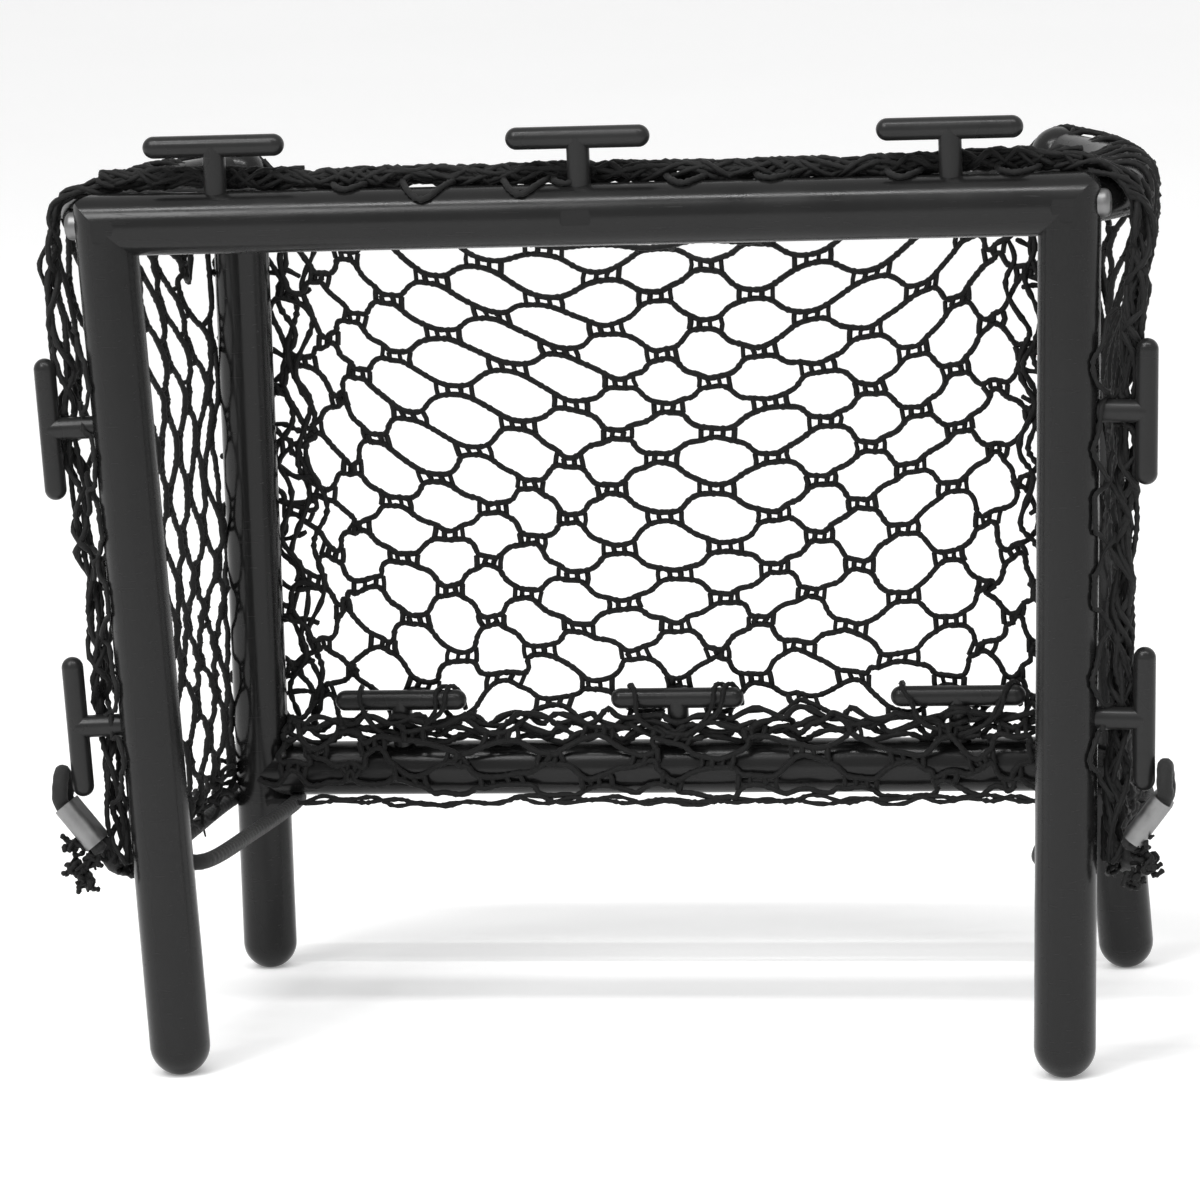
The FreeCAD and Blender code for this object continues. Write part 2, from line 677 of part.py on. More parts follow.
def make_ferrule(word, side):
    """A flat-sided crimp sleeve over both strands: a slot-shaped pad with a bore per strand."""
    label = f"{word}_ferrule_sleeve"
    body = doc.addObject("PartDesign::Body", label)
    outline = attached_sketch(body, f"{label}_outline", "XY_Plane",
                              {"AttachmentOffset__Base__z": "-ferrule_length / 2"})
    radius = size("ferrule_width") / 2
    half = size("strand_pitch") / 2
    outline.addGeometry([
        Part.ArcOfCircle(Part.Circle(vector(0, half, 0), Z_AXIS, radius), 0, math.pi),
        Part.LineSegment(vector(-radius, half, 0), vector(-radius, -half, 0)),
        Part.ArcOfCircle(Part.Circle(vector(0, -half, 0), Z_AXIS, radius), math.pi, 2 * math.pi),
        Part.LineSegment(vector(radius, -half, 0), vector(radius, half, 0)),
    ], False)
    outline.addConstraint([
        Sketcher.Constraint("Tangent", 0, 2, 1, 1),
        Sketcher.Constraint("Tangent", 1, 2, 2, 1),
        Sketcher.Constraint("Tangent", 2, 2, 3, 1),
        Sketcher.Constraint("Tangent", 3, 2, 0, 1),
        Sketcher.Constraint("PointOnObject", 0, 3, -2),
        Sketcher.Constraint("Symmetric", 0, 3, 2, 3, -1, 1),
        Sketcher.Constraint("Equal", 0, 2),
    ])
    wide = outline.addConstraint(Sketcher.Constraint("Radius", 0, radius))
    apart = outline.addConstraint(Sketcher.Constraint("DistanceY", 2, 3, 0, 3, 2 * half))
    bind(outline, **{f"Constraints[{wide}]": "ferrule_width / 2",
                     f"Constraints[{apart}]": "strand_pitch"})
    pad = body.newObject("PartDesign::Pad", f"{label}_pad")
    pad.Profile = outline
    bind(pad, Length="ferrule_length")
    body.Placement = placed(ferrule_centre(side), ferrule_spin(side))
    return body


def ferrule_bore(name, side, offset):
    """A straight hole through the ferrule, for one strand."""
    spin = ferrule_spin(side)
    start = ferrule_centre(side) + offset - spin.multVec(Z_AXIS) * size("ferrule_length")
    return cylinder(name, "(cord_diameter + ferrule_play) / 2", "ferrule_length * 2",
                    placed(start, spin))


def make_cords():
    right_shape = swept_round(cord_points(), size("cord_diameter") / 2)
    shapes = {"left": right_shape.mirror(vector(0, 0, 0), X_AXIS), "right": right_shape}
    for word, side in SIDES:
        keep(freeform(f"{word}_cord", shapes[word]), f"{word}_side_cord")
        bores = [ferrule_bore(f"{word}_ferrule_front_bore", side, strand_offset() * -1),
                 ferrule_bore(f"{word}_ferrule_rear_bore", side, strand_offset())]
        sleeve = make_ferrule(word, side)
        keep(trimmed(f"{word}_ferrule", sleeve, bores), f"{word}_cord_ferrule")


# ------------------------------------------------------------------ netting


def strip(inner, outward):
    """A thin closed outline: a smooth line and its copy moved outward by the net's thickness."""
    shift = [direction * size("net_thickness") for direction in outward]
    outer = [point + move for point, move in zip(inner, shift)]
    near = spline(inner).toShape()
    far = spline(outer).toShape()
    ends = [Part.makeLine(inner[-1], outer[-1]), Part.makeLine(outer[0], inner[0])]
    return Part.Wire([near, ends[0], far, ends[1]])


def panel(label, sections):
    keep(freeform(label, Part.makeLoft(sections, True)), label)


def make_side_net(word, side):
    """Hangs outside the post and the rear leg, on the side of the hooks' stems."""
    sections = []
    for height, front_gap, middle_gap in SIDE_NET_SECTIONS:
        post = post_axis_at(side, height)
        leg = leg_axis_at(side, height)
        middle = (post + leg) * 0.5
        inner = [
            post + vector(side * front_gap, SIDE_NET_START, 0),
            middle + vector(side * middle_gap, 0, 0),
            leg + vector(side * (rear_radius + NET_CLEARANCE), 0, 0),
        ]
        sections.append(strip(inner, [X_AXIS * side] * 3))
    panel(f"{word}_side_net", sections)


def make_back_net():
    """Hangs behind the rear legs and the rear bar."""
    sections = []
    for height, forward in BACK_NET_SECTIONS:
        left = leg_axis_at(-1, height)
        right = leg_axis_at(1, height)
        behind = Y_AXIS * (rear_radius + NET_CLEARANCE)
        middle = (left + right) * 0.5 + behind - Y_AXIS * forward
        quarter = X_AXIS * (right.x / 2)
        ease = Y_AXIS * (forward * QUARTER_SAG)
        inner = [left + behind, middle - quarter + ease, middle, middle + quarter + ease,
                 right + behind]
        sections.append(strip(inner, [Y_AXIS] * 5))
    panel("back_net", sections)


def make_top_net():
    """Lies over the rails from the gathered front edge to the rear legs, sagging between."""
    rail_top = size("crossbar_height") + size("rail_diameter") / 2 + NET_CLEARANCE
    climb = (size("rear_top_height") - size("crossbar_height")) / size("rear_top_depth")
    sections = []
    for depth, half_width, sag in TOP_NET_SECTIONS:
        height = rail_top + depth * climb
        ends = vector(half_width, depth, height)
        low = vector(0, depth, height - sag)
        quarter = vector(half_width / 2, 0, sag * QUARTER_SAG)
        inner = [vector(-ends.x, ends.y, ends.z), low + vector(-quarter.x, 0, quarter.z), low,
                 low + quarter, ends]
        sections.append(strip(inner, [Z_AXIS] * 5))
    panel("top_net", sections)


def make_front_hem():
    """The gathered rope-like front edge, lying on the crossbar behind the hooks."""
    radius = size("hem_diameter") / 2
    reach = front_radius + radius + size("cord_clearance")
    tilt = math.radians(HEM_TILT)
    back = reach * math.sin(tilt)
    height = size("crossbar_height") + reach * math.cos(tilt)
    half = size("corner_span") / 2
    hem = rod_between("net_front_hem", "hem_diameter", vector(-half, back, height),
                      vector(half, back, height))
    keep(hem, "net_front_hem")


# -------------------------------------------------------------------- build


def check_document():
    failed = [item.Name for item in doc.Objects if {"Invalid", "Error"} & set(item.State)]
    if failed:
        raise RuntimeError("failed: " + ", ".join(failed))
    for item in sub_parts:
        shape = item.Shape
        if shape.isNull() or not shape.isValid():
            raise RuntimeError(f"{item.Label} has no valid shape")


def slide_to_origin():
    shift = placed(vector(0, -size("origin_depth"), 0))
    for item in sub_parts:
        item.Placement = shift.multiply(item.Placement)
    doc.recompute()
    check_document()


make_frame()
make_cords()
for side_word, side_sign in SIDES:
    make_side_net(side_word, side_sign)
make_back_net()
make_top_net()
make_front_hem()
doc.recompute()
check_document()
slide_to_origin()

os.makedirs("parts", exist_ok=True)
for finished in sub_parts:
    finished.Shape.exportStep(f"parts/{finished.Label}.step")
    print(finished.Label, len(finished.Shape.Solids), round(finished.Shape.Volume, 1))
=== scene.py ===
"""Tabletop hockey goal: the knotless netting, its gathered edges, the elastic cords and the finish of
the black plastic frame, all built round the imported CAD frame. Shapes are worked out in millimetres."""

import math

import bpy
import numpy as np
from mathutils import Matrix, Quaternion, Vector


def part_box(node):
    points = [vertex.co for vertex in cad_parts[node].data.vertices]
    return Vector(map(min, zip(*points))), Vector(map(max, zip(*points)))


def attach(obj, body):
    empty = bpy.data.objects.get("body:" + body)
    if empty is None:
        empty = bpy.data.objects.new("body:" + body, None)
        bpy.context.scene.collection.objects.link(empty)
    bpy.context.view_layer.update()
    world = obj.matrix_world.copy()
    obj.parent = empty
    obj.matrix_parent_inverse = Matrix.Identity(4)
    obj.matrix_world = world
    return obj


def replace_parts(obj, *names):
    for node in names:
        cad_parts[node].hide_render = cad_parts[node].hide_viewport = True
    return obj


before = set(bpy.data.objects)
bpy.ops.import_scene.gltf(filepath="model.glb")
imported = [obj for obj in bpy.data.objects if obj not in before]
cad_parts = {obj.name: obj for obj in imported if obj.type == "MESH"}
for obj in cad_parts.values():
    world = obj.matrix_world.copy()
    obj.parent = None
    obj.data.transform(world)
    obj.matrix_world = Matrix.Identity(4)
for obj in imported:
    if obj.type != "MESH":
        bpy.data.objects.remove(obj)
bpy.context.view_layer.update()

MM = 0.001
SEED = 20
rng = np.random.default_rng(SEED)

# ---------------------------------------------------------------- netting sizes, millimetres
CELL_LENGTH = 19.0            # from one ladder to the next along a row, on the top and back
SIDE_CELL_LENGTH = 15.2       # the same on the side flaps, where the net hangs free
LADDER_LENGTH = 6.0
LADDER_WIDTH = 1.55
LADDER_FLARE = 1.6            # how much wider a ladder's ends are than its waist
TIE_PLACES = (-0.5, -0.17, 0.17, 0.5)   # cross ties, as shares of the ladder
STRAND_RADIUS = 0.52
TIE_RADIUS = 0.48
GATHERED_RADIUS = 0.46        # a strand of the hem or of a gathered side edge
LACING_RADIUS = 0.5
TOP_ROWS = 14                 # half rows of cells between the front hem and the rear edge
BACK_ROWS = 21
ROW_SHARES = (0, 0.35, 0.7, 0.8, 1.0)       # places down the back's rows, as shares of them
ROW_PITCHES = (5.5, 6.1, 6.3, 5.2, 4.3)     # the height of a half row at each of these
BACK_SAG = 19.0               # how far the rear top edge hangs between the legs
BACK_SAG_POWER = 0.95         # how the sag fades down the back
TOP_SAG_POWER = 1.6           # how it grows from the hem to the rear edge
BACK_NARROWING = 0.19         # the back flap is pulled in towards the foot of the goal
EDGE_GATHER = 0.15            # share of the back flap's width drawn in at each leg
SIDE_FOOT = 35.0              # height of the side flaps' ragged lower edge
EDGE_JITTER = 1.2             # how unevenly the net's side edges are cut
EDGE_BAND = 3.5               # points this near a side edge are held while the net relaxes
CLEARANCE = 0.42              # strand centre to plastic

# a side flap's front edge: its distance outside the post at these heights
EDGE_HEIGHTS = (30.0, 45.0, 59.0, 70.0, 85.0, 108.0, 122.0, 135.0, 150.0)
EDGE_GAPS = (3.0, 3.4, 4.4, 4.0, 4.6, 5.2, 5.6, 6.2, 6.6)
EDGE_PULL = 0.9               # taken off every gap: the net is drawn in against the post

# how far the net's unevenness moves a point: along its row, down the net, and out of its surface
DRIFT_U, DRIFT_V = 1.5, 0.9
PUCKER_U, PUCKER_V = 1.5, 1.0
SIDE_RIPPLE, BACK_RIPPLE = 0.8, 0.7

# the springs that even out the net
RELAX_STEPS = 160
OVER_RELAXATION = 1.7
FALL_PER_STEP = 0.004
PUSH_EVERY = 4                # steps between pushes out of the rods
LINK_STIFFNESS = 1.0
BEND_STIFFNESS = 0.12


# ---------------------------------------------------------------- places read off the frame
def node_box(name):
    """A CAD node's lowest and highest corners in millimetres."""
    low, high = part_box(name)
    return np.array(low) / MM, np.array(high) / MM


def node_points(name):
    """Every vertex of a CAD node in millimetres."""
    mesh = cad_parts[name].data
    points = np.empty(len(mesh.vertices) * 3)
    mesh.vertices.foreach_get("co", points)
    return points.reshape(-1, 3) / MM


bar_low, bar_high = node_box("crossbar")
BAR_RADIUS = (bar_high[1] - bar_low[1]) / 2
BAR_Z = (bar_high[2] + bar_low[2]) / 2
MOUTH_Y = (bar_high[1] + bar_low[1]) / 2
rear_low, rear_high = node_box("rear_bar")
REAR_RADIUS = (rear_high[1] - rear_low[1]) / 2
REAR_BAR_Y = (rear_high[1] + rear_low[1]) / 2
REAR_BAR_Z = (rear_high[2] + rear_low[2]) / 2

post_low, post_high = node_box("right_front_post")
POST_FOOT = np.array([post_low[0] + BAR_RADIUS, MOUTH_Y, 0.0])
POST_TOP = np.array([post_high[0] - BAR_RADIUS, MOUTH_Y, BAR_Z])
leg_low, leg_high = node_box("right_rear_leg")
LEG_TOP_Z = leg_high[2] - REAR_RADIUS
LEG_FOOT = np.array([leg_high[0] - REAR_RADIUS, leg_high[1] - REAR_RADIUS, 0.0])
LEG_TOP = np.array([leg_low[0] + REAR_RADIUS, leg_low[1] + REAR_RADIUS, LEG_TOP_Z])

RAIL_RADIUS = 3.8             # the CAD rail is bowed, so its box doesn't give this
RAIL_STATIONS = 15
STATION_REACH = 3.2           # a station's centre comes from the rail's points this near it
RAIL_END = 2.0                # the stations stop this far from the rail's ends
rail_points = node_points("right_top_rail")
rail_low, rail_high = rail_points.min(0), rail_points.max(0)


def rail_line():
    """The centre line of the bowed right rail as (x, y, z) points from front to back."""
    line = []
    for station in np.linspace(rail_low[1] + RAIL_END, rail_high[1] - RAIL_END, RAIL_STATIONS):
        near = rail_points[np.abs(rail_points[:, 1] - station) < STATION_REACH]
        if len(near) > 3:
            line.append([near[:, 0].max() - RAIL_RADIUS, station, 0.0])
    line = np.array(line)
    share = (line[:, 1] - rail_low[1]) / (rail_high[1] - rail_low[1])
    line[:, 2] = BAR_Z + (LEG_TOP_Z - BAR_Z) * share
    return line


RAIL = rail_line()
RAIL_LEVEL = RAIL[:, 0].mean()


def rail_at(share, axis):
    """The rail centre line's x, y or z at a share of its length."""
    return np.interp(share, np.linspace(0, 1, len(RAIL)), RAIL[:, axis])


def leg_at(z):
    """The (x, y) of the right rear leg's centre line at a height."""
    share = (z - LEG_FOOT[2]) / (LEG_TOP[2] - LEG_FOOT[2])
    return (LEG_FOOT[0] + (LEG_TOP[0] - LEG_FOOT[0]) * share,
            LEG_FOOT[1] + (LEG_TOP[1] - LEG_FOOT[1]) * share)


def post_x(z):
    """The x of the right front post's centre line at a height."""
    return POST_FOOT[0] + (POST_TOP[0] - POST_FOOT[0]) * z / BAR_Z


# ---------------------------------------------------------------- the rods the net rests against
def capsules():
    """Every rod on both sides of the goal, as three arrays: one end, the other end, the radius."""
    rods = [((-POST_TOP[0], MOUTH_Y, BAR_Z), (POST_TOP[0], MOUTH_Y, BAR_Z), BAR_RADIUS),
            ((-rear_high[0], REAR_BAR_Y, REAR_BAR_Z), (rear_high[0], REAR_BAR_Y, REAR_BAR_Z),
             REAR_RADIUS)]
    for side in (-1, 1):
        flip = np.array([side, 1, 1])
        rods.append((POST_FOOT * flip, POST_TOP * flip, BAR_RADIUS))
        rods.append((LEG_FOOT * flip, LEG_TOP * flip, REAR_RADIUS))
        for a, b in zip(RAIL[:-1], RAIL[1:]):
            rods.append((a * flip, b * flip, RAIL_RADIUS))
    for name in sorted(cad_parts):
        if "_hook_" in name:
            rods.extend(hook_rods(name))
    ends = np.array([[a, b] for a, b, r in rods], float)
    return ends[:, 0], ends[:, 1], np.array([r for a, b, r in rods])


def hook_rods(name):
    """A T hook's stem and bar, from the node's box: the bar is the long way of the box."""
    low, high = node_box(name)
    centre = (low + high) / 2
    span = high - low
    across = 2 if "post" in name else 0
    out = 0 if "post" in name else 2
    radius = span[1] / 2
    sign = 1.0 if out == 2 else math.copysign(1.0, centre[0])
    tip = centre.copy()
    tip[out] = (high[out] if sign > 0 else low[out]) - sign * radius
    root = tip.copy()
    root[out] = low[out] if sign > 0 else high[out]
    first, last = tip.copy(), tip.copy()
    first[across], last[across] = low[across] + radius, high[across] - radius
    return [(root, tip, radius), (first, last, radius)]


CAP_A, CAP_B, CAP_R = capsules()


def pushed_out(points, margin):
    """Points moved out of the rods, to margin off their surface."""
    for a, b, radius in zip(CAP_A, CAP_B, CAP_R):
        axis = b - a
        reach = radius + margin
        share = np.clip((points - a) @ axis / (axis @ axis), 0, 1)
        away = points - a - share[:, None] * axis
        distance = np.maximum(np.linalg.norm(away, axis=1), 1e-6)
        inside = distance < reach
        if inside.any():
            points[inside] += away[inside] * (reach / distance[inside] - 1)[:, None]
    return points


# ---------------------------------------------------------------- the cloth as a map from (u, v)
LEG_BACK = REAR_RADIUS + CLEARANCE
HEM_Y = MOUTH_Y + 3.6
REAR_TOP_Y = LEG_TOP[1] + LEG_BACK
TOP_DEPTH = REAR_TOP_Y - HEM_Y
BEND_Z = REAR_BAR_Z + 15.0    # where the back flap leaves its plane to go under the rear hooks
BACK_FALL = LEG_TOP[2] - BEND_Z
FALL_PAST_BEND = 0.85         # below the bend a length of net takes up this share in height
BACK_EDGE_DROP = 0.5          # the rear edge lies this much below the top of the leg
GATHER_FROM, GATHER_TO = 0.62, 1.2      # the gather's start and end, as shares of the leg's x
TURN_LIMIT = 2.2              # how far the flap's edge turns round the leg, radians
BACK_BELLY = 0.6              # how far the back bows between the legs
ROW_TILT = 0.035              # on the left the low rows climb towards the leg
SIDE_BELLY = 1.5              # how far a side flap bows in between the post and the leg
RAIL_HOLD = 34.0              # how far below the rail it still holds the side flap out
LEVELLING = 28.0              # below the rail the rows level out over this length
SIDE_EASE = 5.0               # below the rail a row's points ease into the flap's own spacing


def smooth(x, low, high):
    """0 below low, 1 above high, and an even ease between them."""
    t = np.clip((x - low) / (high - low), 0, 1)
    return t * t * (3 - 2 * t)


def noise_field(seed, reach, count):
    """A smooth random function of two variables: count sine waves with random directions, whose
    shortest wavelength is reach."""
    local = np.random.default_rng(seed)
    waves = [(local.uniform(0.4, 1.0) / reach, local.uniform(0, 2 * math.pi),
              local.uniform(0, 2 * math.pi)) for _ in range(count)]

    def field(a, b):
        total = 0
        for rate, heading, phase in waves:
            along = a * math.cos(heading) + b * math.sin(heading)
            total = total + np.sin(2 * math.pi * rate * along + phase)
        return total / math.sqrt(len(waves))
    return field


drift_u = noise_field(3, 34.0, 6)
drift_v = noise_field(4, 30.0, 6)
ripple = noise_field(5, 26.0, 6)
pucker_u = noise_field(6, 9.0, 7)
pucker_v = noise_field(7, 8.0, 7)


def front_edge(z):
    """The x of a side flap's front edge at a height, just outside the post."""
    return post_x(z) + BAR_RADIUS + np.interp(z, EDGE_HEIGHTS, EDGE_GAPS) - EDGE_PULL


def side_map(u, share):
    """A side flap: u is the length below the rail, share runs from the front edge to the rear leg."""
    rail_x = rail_at(share, 0) + RAIL_RADIUS + CLEARANCE
    z = BAR_Z - u * (SIDE_CELL_LENGTH / CELL_LENGTH)
    leg_x, leg_y = leg_at(z)
    start_x, start_y = front_edge(z), MOUTH_Y + 1.6
    end_x, end_y = leg_x + LEG_BACK + 0.2, leg_y + 0.5
    x = start_x + (end_x - start_x) * share
    near_top = smooth(z, BAR_Z - RAIL_HOLD, BAR_Z)
    x = x * (1 - near_top) + np.maximum(rail_x, x) * near_top
    x = x - SIDE_BELLY * np.sin(math.pi * share) * (1 - near_top)
    y = start_y + (end_y - start_y) * share
    return x, y, z


def top_map(u, share):
    """The top sheet between the rails: it hangs lower towards the rear edge."""
    y = HEM_Y + TOP_DEPTH * share
    rail_z = rail_at(share, 2) + RAIL_RADIUS + CLEARANCE
    across = np.clip(np.abs(u) / rail_at(share, 0), 0, 1)
    sag = BACK_SAG * share ** TOP_SAG_POWER
    return u, y, rail_z - sag * (1 - across ** 2)


def back_map(u, t):
    """The back flap: t is the length below the rear edge; it ends just below the rear bar."""
    share = np.clip(t / BACK_FALL, 0, 1)
    z = LEG_TOP[2] + REAR_RADIUS - BACK_EDGE_DROP - t
    past_bend = (t - BACK_FALL) * FALL_PAST_BEND
    z = np.where(t < BACK_FALL, z, BEND_Z + REAR_RADIUS - BACK_EDGE_DROP - past_bend)
    leg_x, leg_y = leg_at(z)
    x = u * (1 - BACK_NARROWING * share)
    x = x - np.sign(x) * leg_x * EDGE_GATHER * smooth(np.abs(x) / leg_x, GATHER_FROM, GATHER_TO)
    inside = np.clip(np.abs(x) / leg_x, 0, 1)
    sag = BACK_SAG * np.clip(1 - t / BACK_FALL, 0, 1) ** BACK_SAG_POWER
    tilt = ROW_TILT * x * smooth(t, 30, BACK_FALL) * np.clip(-x / leg_x, 0, 1)
    z = z - sag * (1 - inside ** 2) - tilt
    y = leg_at(z)[1] + LEG_BACK - BACK_BELLY * (1 - inside ** 2)
    # over the last stretch the flap crosses to the front of the rear bar and hangs down past it
    low = REAR_BAR_Z + REAR_RADIUS + 3.0
    over = smooth(-z, -(low + 6.0), -low + 1.0)
    y = y + (REAR_BAR_Y - REAR_RADIUS - CLEARANCE - y) * over
    # beyond the leg the flap turns round its outer side
    beyond = np.abs(x) - leg_x
    turn = np.clip(beyond / LEG_BACK, 0, TURN_LIMIT)
    cx, cy = leg_x + LEG_BACK * np.sin(turn), leg_y + LEG_BACK * np.cos(turn)
    wraps = beyond > 0
    x = np.where(wraps, np.sign(x) * cx, x)
    y = np.where(wraps, cy, y)
    return x, y, z


def cloth(u, v):
    """(u, v) on the flat net, u across the goal and v from the front hem, to a place in space."""
    u = np.asarray(u, float)
    v = np.asarray(v, float)
    share = np.clip(v / TOP_DEPTH, 0, 1)
    rail_x = rail_at(share, 0)
    reach = RAIL_RADIUS + CLEARANCE
    arc = reach * math.pi / 2
    side = np.sign(u)
    length = np.abs(u)
    tx, ty, tz = top_map(u, share)
    # below the rail the rows level out, whatever the rail's bow
    below = np.maximum(length - rail_x - arc, 0)
    drop = below + (rail_x - RAIL_LEVEL) * smooth(below, 0, LEVELLING)
    sx, sy, sz = side_map(drop, share)
    angle = np.clip((length - rail_x) / reach, 0, math.pi / 2)
    ax, az = rail_x + reach * np.sin(angle), rail_at(share, 2) + reach * np.cos(angle)
    on_arc = (length > rail_x) & (length <= rail_x + arc)
    on_side = length > rail_x + arc
    x = np.where(on_side, side * sx, np.where(on_arc, side * ax, tx))
    y = np.where(on_side, sy + (ty - sy) * np.exp(-below / SIDE_EASE), ty)
    z = np.where(on_side, sz, np.where(on_arc, az, tz))
    bx, by, bz = back_map(u, np.maximum(v - TOP_DEPTH, 0))
    on_back = v > TOP_DEPTH
    return np.stack([np.where(on_back, bx, x), np.where(on_back, by, y), np.where(on_back, bz, z)], -1)


# ---------------------------------------------------------------- the knotless lattice
def row_places():
    """Each half row's distance from the front hem: even on the top, growing then bunched on the back."""
    top = np.linspace(0, TOP_DEPTH, TOP_ROWS + 1)
    pitches = []
    for row in range(BACK_ROWS):
        pitches.append(np.interp(row / (BACK_ROWS - 1), ROW_SHARES, ROW_PITCHES))
    back = TOP_DEPTH + np.cumsum(pitches)
    return np.concatenate([top, back])


ROWS = row_places()
LAST = len(ROWS) - 1


def row_reach(row):
    """How far the net extends across the goal at a row: down both sides, or just past the legs."""
    if row <= TOP_ROWS:
        below = (BAR_Z - SIDE_FOOT) * CELL_LENGTH / SIDE_CELL_LENGTH
        return RAIL_LEVEL + (RAIL_RADIUS + CLEARANCE) * math.pi / 2 + below
    t = ROWS[row] - TOP_DEPTH
    share = min(t / BACK_FALL, 1)
    leg_x = leg_at(LEG_TOP[2] - t)[0] * (1 + EDGE_GATHER) + 8.0
    return leg_x / (1 - BACK_NARROWING * share)


class Net:
    """The net laid flat: its points, the strands that run through them and the ties between."""

    def __init__(self):
        self.flat = []
        self.held = []
        self.strands = []
        self.ties = []
        self.ladder = {}

    def point(self, u, v, held=False):
        """Adds a point and returns its index. A held point doesn't move while the net relaxes."""
        self.flat.append((u, v))
        self.held.append(held)
        return len(self.flat) - 1


def lattice():
    """Zigzag strands, one to a half row, that meet their neighbours in ladders of short ties."""
    net = Net()
    half = CELL_LENGTH / 2
    # strand k runs between half rows k and k + 1, and j counts half cells across the goal
    for k in range(LAST):
        reach = min(row_reach(k), row_reach(k + 1)) if k >= TOP_ROWS else row_reach(k)
        reach_left = reach + rng.uniform(-EDGE_JITTER, EDGE_JITTER)
        reach_right = reach + rng.uniform(-EDGE_JITTER, EDGE_JITTER)
        count = int((reach + half) // half)
        strand = []
        for j in range(-count, count + 1):
            row = k + (j + k) % 2
            for place in TIE_PLACES:
                gap = LADDER_WIDTH / 2 * (LADDER_FLARE if abs(place) == 0.5 else 1)
                v = 0.3 if row == 0 else ROWS[row] + (gap if row == k else -gap)
                u = j * half + place * LADDER_LENGTH
                if -reach_left <= u <= reach_right:
                    edge = u < -reach_left + EDGE_BAND or u > reach_right - EDGE_BAND
                    index = net.point(u, v, held=edge or row == 0 or row == LAST)
                    strand.append(index)
                    net.ladder.setdefault((row, j, place), []).append(index)
            u = (j + 0.5) * half
            if -reach_left <= u <= reach_right:
                strand.append(net.point(u, (ROWS[k] + ROWS[k + 1]) / 2))
        if len(strand) > 4:
            net.strands.append(strand)
    for pair in net.ladder.values():
        if len(pair) == 2:
            net.ties.append(tuple(pair))
    return net


def relax(points, pairs, rest, weight, held):
    """Evens out the net's strands: each link is drawn to its length, and rods push points away."""
    a, b = pairs[:, 0], pairs[:, 1]
    free = (~held).astype(float)[:, None]
    count = len(points)
    share = np.bincount(np.concatenate([a, b]), minlength=count).clip(1)[:, None]
    for step in range(RELAX_STEPS):
        delta = points[b] - points[a]
        length = np.maximum(np.linalg.norm(delta, axis=1), 1e-6)
        pull = (weight * 0.5 * (1 - rest / length))[:, None] * delta
        move = np.stack([np.bincount(a, pull[:, i], count) - np.bincount(b, pull[:, i], count)
                         for i in range(3)], -1)
        move = move / share * OVER_RELAXATION
        move[:, 2] -= FALL_PER_STEP
        points = points + move * free
        if step % PUSH_EVERY == PUSH_EVERY - 1:
            points = pushed_out(points, CLEARANCE)
    return points


def uneven(u, v):
    """The flat net's points shifted about: gently all over, and puckered by the legs and the rear
    bar."""
    away = smooth(v, 0, 12)
    u = u + DRIFT_U * drift_u(u, v) * away
    v = v + DRIFT_V * drift_v(u, v) * away
    low_rows = smooth(v, ROWS[LAST - 7], ROWS[LAST - 4])
    at_leg = smooth(np.abs(u), LEG_TOP[0] * 0.84, LEG_TOP[0]) * (v > TOP_DEPTH)
    loose = np.maximum(low_rows * (v < ROWS[LAST] - 1), at_leg)
    u = u + PUCKER_U * loose * pucker_u(u, v)
    v = v + PUCKER_V * loose * pucker_v(u, v)
    return u, v


def springs(net, flat, points):
    """Every spring as its two points, its rest length and its stiffness. A link along a strand
    rests halfway between its length on the flat net and its length as laid."""
    pairs, rest, weight = [], [], []
    for strand in net.strands:
        for i, j in zip(strand[:-1], strand[1:]):
            now = np.linalg.norm(points[i] - points[j])
            plan = np.linalg.norm(flat[i] - flat[j])
            pairs.append((i, j))
            rest.append(0.5 * now + 0.5 * plan)
            weight.append(LINK_STIFFNESS)
        for i, j in zip(strand[:-2], strand[2:]):
            pairs.append((i, j))
            rest.append(np.linalg.norm(points[i] - points[j]))
            weight.append(BEND_STIFFNESS)
    for i, j in net.ties:
        pairs.append((i, j))
        rest.append(np.linalg.norm(flat[i] - flat[j]))
        weight.append(LINK_STIFFNESS)
    return np.array(pairs), np.array(rest), np.array(weight)


def hung_net():
    """The net made uneven, laid over the frame, rippled and relaxed."""
    net = lattice()
    flat = np.array(net.flat)
    points = cloth(*uneven(flat[:, 0], flat[:, 1]))
    on_side = (np.abs(flat[:, 0]) > POST_TOP[0] + 14) & (flat[:, 1] < TOP_DEPTH)
    on_back = flat[:, 1] > TOP_DEPTH
    points[:, 0] += np.where(on_side, SIDE_RIPPLE * ripple(points[:, 1], points[:, 2]), 0)
    points[:, 1] += np.where(on_back, BACK_RIPPLE * ripple(points[:, 0], points[:, 2]), 0)
    points = pushed_out(points, CLEARANCE)
    pairs, rest, weight = springs(net, flat, points)
    return net, relax(points, pairs, rest, weight, np.array(net.held))


# ---------------------------------------------------------------- tubes
STITCH_LENGTH = 1.15          # from one swelling of a strand to the next
ROPE_SIDE = np.array([0.15, 0.95, 0.28])        # any direction that no gathered edge runs along
FIRST_NORMAL = np.array([0.31, 0.52, 0.79])     # the same for a single strand
TIP_SHARE = 0.4               # how far a tube's end cap stands out, in radii


def length_along(path):
    """The running length at each point of a path."""
    return np.linalg.norm(np.diff(path, axis=0, prepend=path[:1]), axis=1).cumsum()


